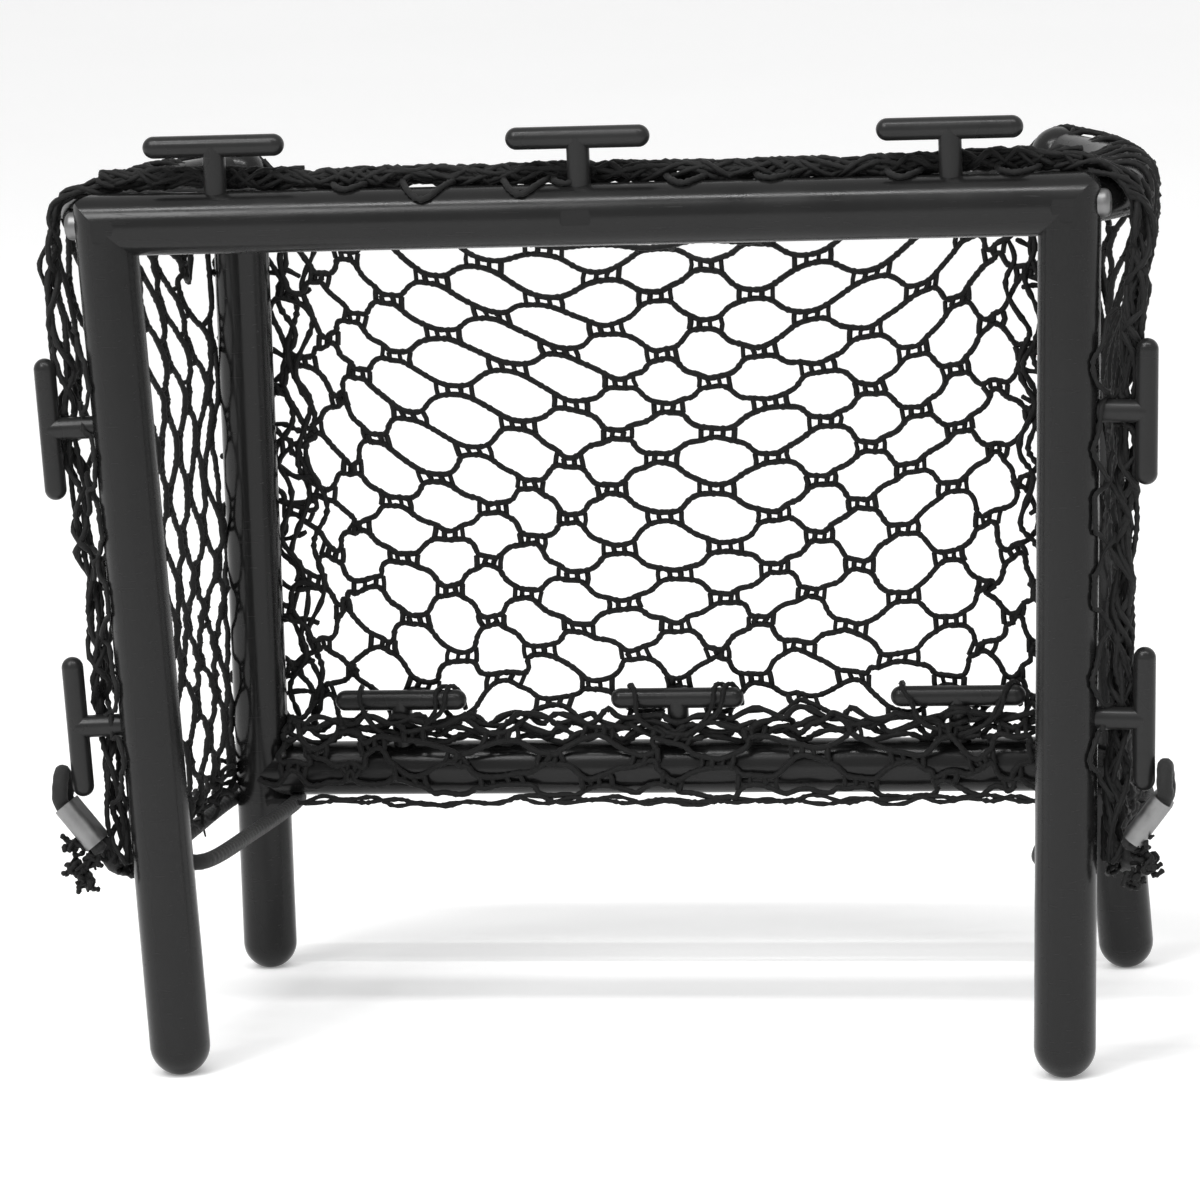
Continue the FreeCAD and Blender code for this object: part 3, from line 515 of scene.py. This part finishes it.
def spans(control, spacing):
    """Each span of a curve as its four control points, with the places to sample along it."""
    padded = np.vstack([2 * control[0] - control[1], control, 2 * control[-1] - control[-2]])
    for a, b, c, d in zip(padded, padded[1:], padded[2:], padded[3:]):
        steps = max(1, int(round(np.linalg.norm(c - b) / spacing)))
        yield a, b, c, d, (np.arange(steps) / steps)[:, None]


def spline_path(control, spacing):
    """A uniform cubic B-spline, drawn to its control points, sampled about every spacing."""
    control = np.asarray(control, float)
    path = []
    for a, b, c, d, t in spans(control, spacing):
        path.append(((1 - t) ** 3 * a + (3 * t ** 3 - 6 * t ** 2 + 4) * b
                     + (-3 * t ** 3 + 3 * t ** 2 + 3 * t + 1) * c + t ** 3 * d) / 6)
    ahead = 2 * control[-1] - control[-2]
    path.append(((control[-2] + 4 * control[-1] + ahead) / 6)[None])
    return np.vstack(path)


def curve_through(control, spacing):
    """A Catmull-Rom curve through every given point, sampled about every spacing."""
    control = np.asarray(control, float)
    path = []
    for a, b, c, d, t in spans(control, spacing):
        path.append(0.5 * (2 * b + (c - a) * t + (2 * a - 5 * b + 4 * c - d) * t ** 2
                           + (3 * b - a - 3 * c + d) * t ** 3))
    path.append(control[-1:])
    return np.vstack(path)


class Mesh:
    """Collects rings of vertices into one mesh."""

    def __init__(self):
        self.points = []
        self.faces = []
        self.count = 0

    def tube(self, path, radius, sides=6, twist=0.0, lobe=0.0, braid=0.0):
        """A closed tube along path. radius may vary along it; lobe makes it two-stranded and
        twisted, and braid raises crossing yarns on it."""
        path = np.asarray(path, float)
        n = len(path)
        if n < 2:
            return
        radius = np.broadcast_to(radius, (n,))
        tangent = np.gradient(path, axis=0)
        tangent /= np.maximum(np.linalg.norm(tangent, axis=1, keepdims=True), 1e-9)
        normal = np.empty_like(path)
        guess = FIRST_NORMAL
        for i in range(n):
            t = tangent[i]
            guess = guess - (guess @ t) * t
            guess = guess / max(math.sqrt(guess @ guess), 1e-9)
            normal[i] = guess
        binormal = np.cross(tangent, normal)
        angle = np.linspace(0, 2 * math.pi, sides, endpoint=False)[None, :]
        turned = twist * length_along(path)[:, None]
        shape = radius[:, None] * (1 + lobe * np.cos(2 * (angle - turned))
                                   + braid * np.cos(4 * angle + turned) * np.cos(4 * angle - turned))
        rings = (path[:, None] + shape[..., None] * (np.cos(angle)[..., None] * normal[:, None]
                                                     + np.sin(angle)[..., None] * binormal[:, None]))
        start = self.count
        self.points.append(rings.reshape(-1, 3))
        self.points.append(np.stack([path[0] - tangent[0] * radius[0] * TIP_SHARE,
                                     path[-1] + tangent[-1] * radius[-1] * TIP_SHARE]))
        around = np.arange(sides)
        after = (around + 1) % sides
        base = start + np.arange(n - 1)[:, None] * sides
        quads = np.stack([base + around, base + after, base + sides + after, base + sides + around], -1)
        self.faces.extend(quads.reshape(-1, 4).tolist())
        first, last = start + n * sides, start + n * sides + 1
        tail = start + (n - 1) * sides
        for i in range(sides):
            j = (i + 1) % sides
            self.faces.append([first, start + j, start + i])
            self.faces.append([last, tail + i, tail + j])
        self.count += n * sides + 2

    def build(self, name, material, slot):
        """Makes the collected tubes one smooth-shaded piece that rides on the frame."""
        mesh = bpy.data.meshes.new(name)
        mesh.from_pydata((np.vstack(self.points) * MM).tolist(), [], self.faces)
        mesh.validate()
        mesh.polygons.foreach_set("use_smooth", [True] * len(mesh.polygons))
        mesh.update()
        piece = bpy.data.objects.new(name, mesh)
        bpy.context.scene.collection.objects.link(piece)
        mesh.materials.append(material)
        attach(piece, "root")
        return piece


def knit_radius(path, radius, depth=0.16):
    """A stitch-by-stitch swelling along a strand."""
    phase = rng.uniform(0, 2 * math.pi)
    return radius * (1 + depth * np.sin(length_along(path) * 2 * math.pi / STITCH_LENGTH + phase))


# ---------------------------------------------------------------- materials
def new_material(name):
    material = bpy.data.materials.new(name)
    material.use_nodes = True
    tree = material.node_tree
    return material, tree, tree.nodes["Principled BSDF"]


def link(tree, source, target):
    tree.links.new(source, target)


def grey(level):
    return (level, level, level)


def noise_node(tree, scale, detail, rough=0.5):
    """Object-space noise: scale is per metre."""
    place = tree.nodes.new("ShaderNodeTexCoord")
    node = tree.nodes.new("ShaderNodeTexNoise")
    node.inputs["Scale"].default_value = scale
    node.inputs["Detail"].default_value = detail
    node.inputs["Roughness"].default_value = rough
    link(tree, place.outputs["Object"], node.inputs["Vector"])
    return node


def mapped(tree, source, low, high, to_low, to_high):
    """The source's range from low to high, stretched to another range."""
    node = tree.nodes.new("ShaderNodeMapRange")
    node.inputs["From Min"].default_value = low
    node.inputs["From Max"].default_value = high
    node.inputs["To Min"].default_value = to_low
    node.inputs["To Max"].default_value = to_high
    link(tree, source, node.inputs["Value"])
    return node.outputs["Result"]


def tinted(tree, factor, first, second):
    """A colour that goes from first to second with the factor."""
    node = tree.nodes.new("ShaderNodeMix")
    node.data_type = "RGBA"
    node.inputs["A"].default_value = (*first, 1)
    node.inputs["B"].default_value = (*second, 1)
    link(tree, factor, node.inputs["Factor"])
    return node.outputs["Result"]


def bumped(tree, shader, height, strength, distance):
    """Gives the shader a bump of the given height; distance is in metres."""
    node = tree.nodes.new("ShaderNodeBump")
    node.inputs["Strength"].default_value = strength
    node.inputs["Distance"].default_value = distance
    link(tree, height, node.inputs["Height"])
    link(tree, node.outputs["Normal"], shader.inputs["Normal"])


def plastic(name, dark, light, gloss_low, gloss_high, grain):
    """Moulded black plastic: a faint mould grain, cloudy gloss and fine handling scratches."""
    material, tree, shader = new_material(name)
    cloud = noise_node(tree, 90.0, 4.0)
    link(tree, tinted(tree, cloud.outputs["Fac"], dark, light), shader.inputs["Base Color"])
    place = tree.nodes.new("ShaderNodeTexCoord")
    stretch = tree.nodes.new("ShaderNodeMapping")
    stretch.inputs["Scale"].default_value = (1.0, 9.0, 14.0)
    stretch.inputs["Rotation"].default_value = (0.2, 0.5, 0.35)
    link(tree, place.outputs["Object"], stretch.inputs["Vector"])
    scratch = tree.nodes.new("ShaderNodeTexNoise")
    scratch.inputs["Scale"].default_value = 140.0
    scratch.inputs["Detail"].default_value = 3.0
    link(tree, stretch.outputs["Vector"], scratch.inputs["Vector"])
    worn = mapped(tree, scratch.outputs["Fac"], 0.62, 0.72, 0.0, 1.0)
    spread = mapped(tree, cloud.outputs["Fac"], 0.3, 0.7, gloss_low, gloss_high)
    # roughness is the cloudy gloss, plus a little more along each scratch
    add = tree.nodes.new("ShaderNodeMath")
    add.operation = "MULTIPLY_ADD"
    add.inputs[1].default_value = 0.12
    link(tree, worn, add.inputs[0])
    link(tree, spread, add.inputs[2])
    link(tree, add.outputs["Value"], shader.inputs["Roughness"])
    fine = noise_node(tree, 2600.0, 3.0, 0.6)
    bumped(tree, shader, fine.outputs["Fac"], grain, 0.00006)
    shader.inputs["Specular IOR Level"].default_value = 0.27
    return material


def yarn(name, dark, light, sheen):
    """Fuzzy polyester yarn: broken-up colour, a filament bump and a soft sheen."""
    material, tree, shader = new_material(name)
    clump = noise_node(tree, 1500.0, 4.0, 0.6)
    link(tree, tinted(tree, clump.outputs["Fac"], dark, light), shader.inputs["Base Color"])
    link(tree, mapped(tree, clump.outputs["Fac"], 0.3, 0.7, 0.55, 0.85), shader.inputs["Roughness"])
    filament = noise_node(tree, 5200.0, 2.0, 0.5)
    bumped(tree, shader, filament.outputs["Fac"], 0.8, 0.00012)
    shader.inputs["Sheen Weight"].default_value = sheen
    shader.inputs["Sheen Roughness"].default_value = 0.45
    shader.inputs["Specular IOR Level"].default_value = 0.25
    return material


def metal(name, dark, light, rough_low, rough_high):
    """Plated or drawn metal with brushing and small dents of tone."""
    material, tree, shader = new_material(name)
    shader.inputs["Metallic"].default_value = 1.0
    cloud = noise_node(tree, 420.0, 5.0, 0.6)
    link(tree, tinted(tree, cloud.outputs["Fac"], dark, light), shader.inputs["Base Color"])
    link(tree, mapped(tree, cloud.outputs["Fac"], 0.3, 0.7, rough_low, rough_high),
         shader.inputs["Roughness"])
    brush = noise_node(tree, 3800.0, 2.0, 0.5)
    bumped(tree, shader, brush.outputs["Fac"], 0.35, 0.00005)
    return material


frame_plastic = plastic("frame_plastic", grey(0.006), grey(0.011), 0.17, 0.26, 0.2)
hook_plastic = plastic("hook_plastic", grey(0.010), grey(0.018), 0.24, 0.36, 0.3)
dowel_plastic = plastic("dowel_plastic", grey(0.02), grey(0.03), 0.5, 0.62, 0.3)
net_yarn = yarn("net_yarn", grey(0.003), grey(0.011), 0.03)
hem_yarn = yarn("hem_yarn", grey(0.003), grey(0.014), 0.05)
cord_braid = yarn("cord_braid", grey(0.006), grey(0.024), 0.1)
ferrule_metal = metal("ferrule_metal", grey(0.17), grey(0.34), 0.38, 0.55)
screw_steel = metal("screw_steel", grey(0.14), grey(0.26), 0.34, 0.5)

# ---------------------------------------------------------------- the netting
STRAND_STEP = 0.55            # the spacing of a strand's rings
GATHER_STEP = 0.7             # the same where the net is gathered
LONGEST_TIE = 5.0
TIE_BOW = 0.05                # how far a tie bows out, as a share of its length


def netting():
    """The whole net as two pieces: the top with both side flaps, and the back."""
    net, places = hung_net()
    top, back = Mesh(), Mesh()
    for index, strand in enumerate(net.strands):
        part = top if index < TOP_ROWS else back
        path = spline_path(places[strand], STRAND_STEP)
        part.tube(path, knit_radius(path, STRAND_RADIUS, 0.09), sides=6, twist=1.9, lobe=0.09)
    for i, j in net.ties:
        part = top if net.flat[i][1] < TOP_DEPTH else back
        a, b = places[i], places[j]
        if np.linalg.norm(b - a) < LONGEST_TIE:
            bow = np.cross(b - a, rng.normal(0, 1, 3)) * TIE_BOW
            thickness = TIE_RADIUS * rng.uniform(0.85, 1.2)
            part.tube(np.array([a, (a + b) / 2 + bow, b]), thickness, sides=5)
    top_piece = top.build("netting_top_and_sides", net_yarn, "net")
    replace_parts(top_piece, "top_net", "left_side_net", "right_side_net")
    back_piece = back.build("netting_back", net_yarn, "net")
    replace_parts(back_piece, "back_net")


# ---------------------------------------------------------------- gathered net
def gathered_strand(mesh, path, radius):
    """One twisted strand of gathered net."""
    mesh.tube(path, knit_radius(path, radius, 0.2), sides=6, twist=2.2, lobe=0.14)


def bundle(mesh, line, strands, spread, crossings):
    """Net gathered into a rope: strands that wander round a line, crossing one another."""
    path = spline_path(line, GATHER_STEP)
    tangent = np.gradient(path, axis=0)
    tangent /= np.linalg.norm(tangent, axis=1, keepdims=True)
    side = np.cross(tangent, ROPE_SIDE)
    side /= np.linalg.norm(side, axis=1, keepdims=True)
    up = np.cross(side, tangent)
    run = length_along(path)
    for _ in range(strands):
        turn = rng.uniform(0, 2 * math.pi)
        turn = turn + crossings * run * rng.choice([-1, 1]) * rng.uniform(0.6, 1.2)
        turn = turn + 0.9 * np.sin(run / rng.uniform(3.0, 6.0) + rng.uniform(0, 6))
        reach = spread * (0.72 + 0.28 * np.sin(run / rng.uniform(2.2, 5.0) + rng.uniform(0, 6)))
        offset = np.cos(turn)[:, None] * side + np.sin(turn)[:, None] * up
        laid = pushed_out(path + offset * reach[:, None], CLEARANCE * 0.8)
        gathered_strand(mesh, laid, GATHERED_RADIUS)


def wander(mesh, line, sway, wavelength, radius):
    """One strand that swings about a line by sway, with a wavelength that differs each time."""
    path = spline_path(line, GATHER_STEP)
    run = length_along(path)
    for axis in range(3):
        rate = 2 * math.pi / (wavelength * rng.uniform(0.7, 1.4))
        path[:, axis] += sway[axis] * np.sin(run * rate + rng.uniform(0, 2 * math.pi))
    gathered_strand(mesh, pushed_out(path, CLEARANCE), radius)


def loose_ends(mesh, place, heading, count, reach, radius):
    """A frayed spot: short fibres that fan out from a place about a heading."""
    for _ in range(count):
        way = np.asarray(heading, float) + rng.normal(0, 0.75, 3)
        way = way / np.linalg.norm(way) * reach * rng.uniform(0.45, 1.0)
        curl = rng.normal(0, 0.22, 3) * reach
        start = np.asarray(place, float) + rng.normal(0, 0.3, 3)
        fibre = spline_path([start, start + way * 0.35, start + way * 0.7 + curl,
                             start + way + curl * 1.6], 0.5)
        thin = np.linspace(1.0, 0.55, len(fibre)) * radius
        mesh.tube(pushed_out(fibre, radius), thin, sides=5)


# ---------------------------------------------------------------- the front hem and side edges
LOOP_RADIUS = 0.42
# along the crossbar: x, and how far the rope lies behind and above the CAD hem's middle
HEM_LINE = ((-80, 0.8, 0.6), (-70, 0.2, 1.1), (-58, 0, 1.0), (-45, -0.2, 0.2), (-28, 0, 0.5),
            (-14, -0.2, 0), (0, 0, 0.8), (16, 0, 0), (34, -0.2, 0.3), (47, 0, 0.1), (60, 0, 0.9),
            (70, 0.3, 1.1), (80, 0.8, 0.7))
# slack loops over the crossbar: x, width, and how far round the bar they hang, in degrees
BAR_LOOPS = ((-38.0, 6.0, 22.0), (-25.0, 9.0, 52.0), (-9.0, 8.0, 46.0), (-2.0, 6.0, 18.0),
             (17.0, 7.0, 26.0), (31.0, 6.0, 14.0), (52.0, 6.0, 24.0), (70.0, 7.0, 16.0))
ROPE_HEIGHTS = (124.0, 114.0, 108.5, 101.0, 86.0, 72.0, 59.0, 48.0, SIDE_FOOT)
POST_LOOP_HEIGHTS = (116.0, 103.0, 92.0, 80.0, 66.0, 53.0)


def edge_rope(hem, side, hem_y, hem_z):
    """A side flap's gathered front edge, from the crossbar's corner down outside the post."""
    line = [(77.0, hem_y + 0.8, hem_z + 0.6), (82.5, hem_y + 1.1, hem_z - 0.3),
            (87.2, hem_y + 1.6, hem_z - 3.4), (89.3, hem_y + 2.0, hem_z - 8.0),
            (89.6, MOUTH_Y + 4.0, 132.0)]
    for z in ROPE_HEIGHTS:
        line.append((float(front_edge(z)), MOUTH_Y + 1.9, z))
    # the right edge hangs in a fuller bunch than the left one
    strands, spread = (12, 1.9) if side > 0 else (6, 1.7)
    bundle(hem, [(side * x, y, z) for x, y, z in line], strands, spread, crossings=0.3)


def post_loop(hem, side, z):
    """A loop of a side flap's edge that lies against the outer side of the post."""
    middle = np.array([side * (post_x(z) + BAR_RADIUS), MOUTH_Y - 1.4, z])
    swing = np.array([side * 2.6, 2.2, 0])
    line = [middle + swing + (0, 0, 9.0), middle + swing * 0.4 + (0, 0, 5.0),
            middle + (-side * 2.0, -3.2, 0), middle + swing * 0.4 - (0, 0, 5.0),
            middle + swing - (0, 0, 9.0)]
    wander(hem, line, (0.4, 0.4, 0.6), 7.0, LOOP_RADIUS)


def bar_loop(hem, x, width, drop):
    """A slack loop of the hem over the front of the crossbar. Both ends start behind the bar's top
    and stand off it."""
    loop = []
    for share in np.linspace(0, 1, 9):
        angle = math.radians(-30 + (30 + drop) * math.sin(math.pi * share) ** 0.8)
        reach = BAR_RADIUS + CLEARANCE + 0.05
        if share in (0.0, 1.0):
            reach += 1.2
        loop.append((x + (share - 0.5) * width, MOUTH_Y - reach * math.sin(angle),
                     BAR_Z + reach * math.cos(angle)))
    path = spline_path(loop, 0.6)
    hem.tube(path, knit_radius(path, STRAND_RADIUS), sides=6, twist=1.9, lobe=0.12)


def netting_hem():
    """The rope of net along the crossbar and down both posts, with its slack loops."""
    low, high = node_box("net_front_hem")
    hem_y = (low[1] + high[1]) / 2
    hem_z = (low[2] + high[2]) / 2
    hem = Mesh()
    line = [(x, hem_y + back, hem_z + up) for x, back, up in HEM_LINE]
    bundle(hem, line, strands=22, spread=1.6, crossings=0.36)
    for side in (-1, 1):
        edge_rope(hem, side, hem_y, hem_z)
        for z in POST_LOOP_HEIGHTS:
            post_loop(hem, side, z)
    for x, width, drop in BAR_LOOPS:
        bar_loop(hem, x, width, drop)
    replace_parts(hem.build("netting_hem", hem_yarn, "net"), "net_front_hem")


# ---------------------------------------------------------------- the net's lacing and low edges
CORD_LEVEL = 32.4             # height of the side flaps' gather, just above the elastic cord


def leg_lacing(lacing, side):
    """Down a rear leg the back flap and the side flap are drawn together."""
    for lane in range(3):
        line = []
        for z in np.arange(143.0, 40.0, -5.0):
            leg_x, leg_y = leg_at(z)
            inward = 5.6 + 2.2 * lane + 1.1 * math.sin(z / 8.0 + 2 * lane)
            line.append((side * (leg_x - inward), leg_y + 4.6, z))
        wander(lacing, line, (1.3, 0.4, 0.6), 15.0, LACING_RADIUS)
    for z in np.arange(140.0, 42.0, -7.0):
        leg_x, leg_y = leg_at(z)
        rise = rng.uniform(-3.5, 3.5)
        out = rng.uniform(8.0, 11.0)
        line = [(side * (leg_x + 3.0), leg_y + 5.0, z),
                (side * (leg_x - 3.0), leg_y + 5.6, z + rise * 0.2),
                (side * (leg_x - out * 0.6), leg_y + 5.0, z + rise * 0.6),
                (side * (leg_x - out), leg_y + 4.8, z + rise)]
        wander(lacing, line, (0.3, 0.3, 0.5), 9.0, LACING_RADIUS)


def rear_bar_bunch(lacing):
    """The lower edge of the back, bunched along the top of the rear bar, with two strands below."""
    for lane in range(5):
        line = []
        for x in np.linspace(-rear_high[0] + 4.0, rear_high[0] - 4.0, 26):
            line.append((x, REAR_BAR_Y - 2.2 + rng.uniform(-1.6, 1.6),
                         REAR_BAR_Z + REAR_RADIUS + 0.7 + 1.0 * lane + rng.uniform(-1.0, 1.0)))
        wander(lacing, line, (0.8, 0.5, 0.9), 8.5, 0.55)
    for _ in range(2):
        line = []
        for x in np.linspace(-rear_high[0] + 2.0, rear_high[0] - 2.0, 30):
            line.append((x, REAR_BAR_Y - REAR_RADIUS - 0.9,
                         REAR_BAR_Z - REAR_RADIUS - 0.2 + rng.uniform(-0.9, 0.9)))
        wander(lacing, line, (0.4, 0.2, 0.35), 9.0, LOOP_RADIUS)


def hook_catch(lacing, name):
    """Strands that loop over a rear hook's T bar and down to its stem, one left and two right."""
    low, high = node_box(name)
    middle = (low + high) / 2
    bar_z = high[2] - 1.8
    for end in (-1, 1, 1):
        reach = end * rng.uniform(5.0, 9.5)
        foot = end * rng.uniform(2.4, 4.5)
        line = [(middle[0] + reach * 1.15, high[1] + 1.4, bar_z - 2.4),
                (middle[0] + reach * 1.1, high[1] + 0.5, bar_z + 1.2),
                (middle[0] + reach, middle[1] - 0.6, bar_z + 2.5),
                (middle[0] + reach * 0.9, low[1] - 0.9, bar_z - 0.4),
                (middle[0] + (reach + foot) / 2, low[1] - 0.8, bar_z - 3.2),
                (middle[0] + foot, low[1] - 0.4, REAR_BAR_Z + REAR_RADIUS + 1.4),
                (middle[0] - foot, low[1] - 1.2, REAR_BAR_Z + REAR_RADIUS + 0.9)]
        wander(lacing, line, (0.35, 0.2, 0.3), 8.0, 0.45)


def side_gather(lacing, side):
    """A side flap's lower edge, gathered along the elastic cord, wider apart towards the rear."""
    leg_x, leg_y = leg_at(SIDE_FOOT)
    for lane in range(8):
        line = []
        for share in np.linspace(0, 1, 14):
            x = front_edge(SIDE_FOOT) + (leg_x + LEG_BACK - front_edge(SIDE_FOOT)) * share
            spread = 1.0 + 2.2 * share
            line.append((side * (x + rng.uniform(-1.0, 1.0)),
                         MOUTH_Y + 4.0 + (leg_y + 3.0 - MOUTH_Y - 4.0) * share,
                         CORD_LEVEL + 0.33 * lane * spread + rng.uniform(-0.6, 0.6)))
        wander(lacing, line, (0.6, 0.5, 0.7), 10.0, LOOP_RADIUS)
    for _ in range(6):
        share = rng.uniform(0.1, 0.9)
        loose_ends(lacing, (side * 82.0, MOUTH_Y + 4 + 68 * share, 32.0), (0.1, 0, -1.0), 3, 2.4, 0.3)


def netting_lacing():
    """Everything that ties the net to the legs, the rear bar, its hooks and the side cords."""
    lacing = Mesh()
    for side in (-1, 1):
        leg_lacing(lacing, side)
    rear_bar_bunch(lacing)
    for place in ("left", "centre", "right"):
        hook_catch(lacing, f"rear_bar_hook_{place}")
    for side in (-1, 1):
        side_gather(lacing, side)
    lacing.build("netting_lacing", net_yarn, "net")


# ---------------------------------------------------------------- the elastic side cords
CORD_RADIUS = 1.3
STRAND_PITCH = 3.2            # between the two runs of cord inside the ferrule
FERRULE_HALF = 4.15
FERRULE_LEAN = math.radians(38.0)
STOPPER_RISE = 4.9            # the stopper loop's height above the ferrule
LOW_RUN_GAP = 0.29            # the low run lies this much above the CAD cord's lowest point
WRAP_RADIUS = CORD_RADIUS + 0.25
KNOT_DROPS = (3.4, 5.4, 7.4, 9.4)       # small knots of frayed net, this far below the ferrule


def cord_line():
    """The right cord's path: through the ferrule, over a stopper loop and back, round the rear
    leg, and forward to the back of the post. It follows the CAD cord."""
    low, high = node_box("right_cord_ferrule")
    ferrule = (low + high) / 2
    rise = np.array([math.sin(FERRULE_LEAN), 0, math.cos(FERRULE_LEAN)])
    apart = np.array([0, STRAND_PITCH / 2, 0])
    half = FERRULE_HALF
    loop = np.array([0, 0, STOPPER_RISE])
    shoulder = ferrule + rise * (half + 0.6) + loop * 0.45
    climb = [ferrule - rise * (half + 1.2), ferrule - rise * half / 2, ferrule,
             ferrule + rise * half / 2, ferrule + rise * (half + 0.6)]
    path = [p - apart for p in climb]
    path += [shoulder - apart * 1.3, climb[-1] + loop, shoulder + apart * 1.3]
    path += [p + apart for p in reversed(climb)]
    cord_low = node_box("right_side_cord")[0]
    low_z = cord_low[2] + CORD_RADIUS + LOW_RUN_GAP
    radius = WRAP_RADIUS
    leg_x, leg_y = leg_at(low_z)
    wrap = REAR_RADIUS + radius
    slant = wrap * math.sqrt(0.5)
    halfway = MOUTH_Y + (leg_y - MOUTH_Y) / 2
    path += [(leg_x + wrap + radius * 2, MOUTH_Y + BAR_RADIUS, low_z + radius * 2),
             (leg_x + wrap + radius, MOUTH_Y + BAR_RADIUS * 3, low_z + radius / 2),
             (leg_x + wrap + radius / 2, halfway, low_z),
             (leg_x + wrap, leg_y - radius * 2, low_z), (leg_x + slant, leg_y + slant, low_z),
             (leg_x, leg_y + wrap, low_z), (leg_x - slant, leg_y + slant, low_z),
             (leg_x - wrap, leg_y - radius * 2, low_z), (leg_x - wrap, halfway, low_z + radius),
             (post_x(low_z) - BAR_RADIUS, MOUTH_Y + BAR_RADIUS + radius * 2, low_z + radius * 2),
             (post_x(low_z) + radius, MOUTH_Y + BAR_RADIUS + radius, low_z + radius * 2.5)]
    return np.array(path)


def elastic_cord(word, side):
    """A braided cord; the left one is the right one mirrored."""
    cord = Mesh()
    line = curve_through(cord_line() * (side, 1, 1), 0.45)
    cord.tube(line, CORD_RADIUS, sides=20, twist=1.7, braid=0.055)
    piece = cord.build(f"{word}_elastic_cord", cord_braid, "elastic_cord")
    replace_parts(piece, f"{word}_side_cord")


def frayed_end(word, side):
    """Knots of small loops with a few short ends, hanging below a ferrule."""
    frayed = Mesh()
    low, high = node_box(f"{word}_cord_ferrule")
    ferrule = (low + high) / 2
    for drop in KNOT_DROPS:
        spot = np.array([ferrule[0] + side * rng.uniform(-2.4, 1.2), ferrule[1] - 1.0,
                         ferrule[2] - drop])
        for _ in range(4):
            ring = rng.normal(0, 1.4, (6, 3)).clip(-2.2, 2.2) + spot
            path = spline_path(ring, 0.5)
            frayed.tube(path, knit_radius(path, LOOP_RADIUS, 0.25), sides=6)
        loose_ends(frayed, spot, (side * 0.8, -0.2, -0.5), 3, 2.2, 0.4)
    frayed.build(f"{word}_frayed_net_end", net_yarn, "net")


# ---------------------------------------------------------------- the CAD nodes' finish
FINISHES = (("hook", hook_plastic), ("dowel", dowel_plastic), ("screw", screw_steel),
            ("ferrule", ferrule_metal), ("cord", cord_braid))


def finish_for(name):
    """A CAD node's material, from the first word of FINISHES in its name."""
    for word, material in FINISHES:
        if word in name:
            return material
    return frame_plastic


# ---------------------------------------------------------------- the pieces, in their order
netting()
netting_hem()
netting_lacing()
for word, side in (("left", -1), ("right", 1)):
    elastic_cord(word, side)
    frayed_end(word, side)
for name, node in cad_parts.items():
    node.data.materials.clear()
    node.data.materials.append(finish_for(name))


# ---------------------------------------------------------------- floor, light and camera
def stage_mesh():
    """A pale sweep: a wide floor that curves up into a backdrop far behind the goal."""
    width, front, back, rise, radius = 6.0, -3.0, 4.0, 4.0, 1.5
    bend_steps = 12
    profile = [(front, 0.0), (back - radius, 0.0)]
    for step in range(1, bend_steps + 1):
        turn = step / bend_steps * math.pi / 2
        profile.append((back - radius + radius * math.sin(turn), radius - radius * math.cos(turn)))
    profile.append((back, rise))
    points = [(x, y, z) for y, z in profile for x in (-width, width)]
    faces = [(2 * i, 2 * i + 1, 2 * i + 3, 2 * i + 2) for i in range(len(profile) - 1)]
    mesh = bpy.data.meshes.new("studio_floor")
    mesh.from_pydata(points, [], faces)
    mesh.polygons.foreach_set("use_smooth", [True] * len(mesh.polygons))
    floor = bpy.data.objects.new("studio_floor", mesh)
    bpy.context.scene.collection.objects.link(floor)
    material, tree, shader = new_material("studio_paper")
    soft = noise_node(tree, 6.0, 2.0)
    link(tree, tinted(tree, soft.outputs["Fac"], grey(0.90), grey(0.93)), shader.inputs["Base Color"])
    shader.inputs["Roughness"].default_value = 0.75
    shader.inputs["Emission Color"].default_value = (1, 1, 1, 1)
    shader.inputs["Emission Strength"].default_value = 0.2
    mesh.materials.append(material)


def area_light(name, place, target, width, height, power):
    """A rectangular soft light at a place, turned to face its target."""
    data = bpy.data.lights.new(name, "AREA")
    data.shape = "RECTANGLE"
    data.size, data.size_y, data.energy = width, height, power
    light = bpy.data.objects.new(name, data)
    light.location = place
    light.rotation_euler = (Vector(target) - Vector(place)).to_track_quat("-Z", "Y").to_euler()
    bpy.context.scene.collection.objects.link(light)


stage_mesh()
area_light("key_soft", (-0.62, -1.1, 1.3), (0, 0, 0.05), 0.45, 0.45, 8.5)
area_light("top_strip", (0.0, -0.47, 1.2), (0, 0, 0.12), 1.5, 0.045, 10.0)

world = bpy.data.worlds.new("studio_air")
world.use_nodes = True
background = world.node_tree.nodes["Background"]
background.inputs["Color"].default_value = (1.0, 1.0, 1.0, 1)
background.inputs["Strength"].default_value = 0.66
bpy.context.scene.world = world
bpy.context.scene.view_settings.view_transform = "Standard"

# the viewpoint: a person's eye level to a small goal, a little to its right, looking down at it
CAMERA_AT = Vector((0.182, -0.9993, 0.2488))
CAMERA_AIM = Vector((-0.0008, -0.0312, 0.0776))
CAMERA_ROLL = -2.48           # degrees
camera_data = bpy.data.cameras.new("photo_view")
camera_data.sensor_width = 36.0
camera_data.lens = 184.6
camera = bpy.data.objects.new("photo_view", camera_data)
camera.location = CAMERA_AT
looking = (CAMERA_AIM - CAMERA_AT).to_track_quat("-Z", "Y")
camera.rotation_euler = (looking @ Quaternion((0, 0, 1), math.radians(CAMERA_ROLL))).to_euler()
bpy.context.scene.collection.objects.link(camera)
bpy.context.scene.camera = camera
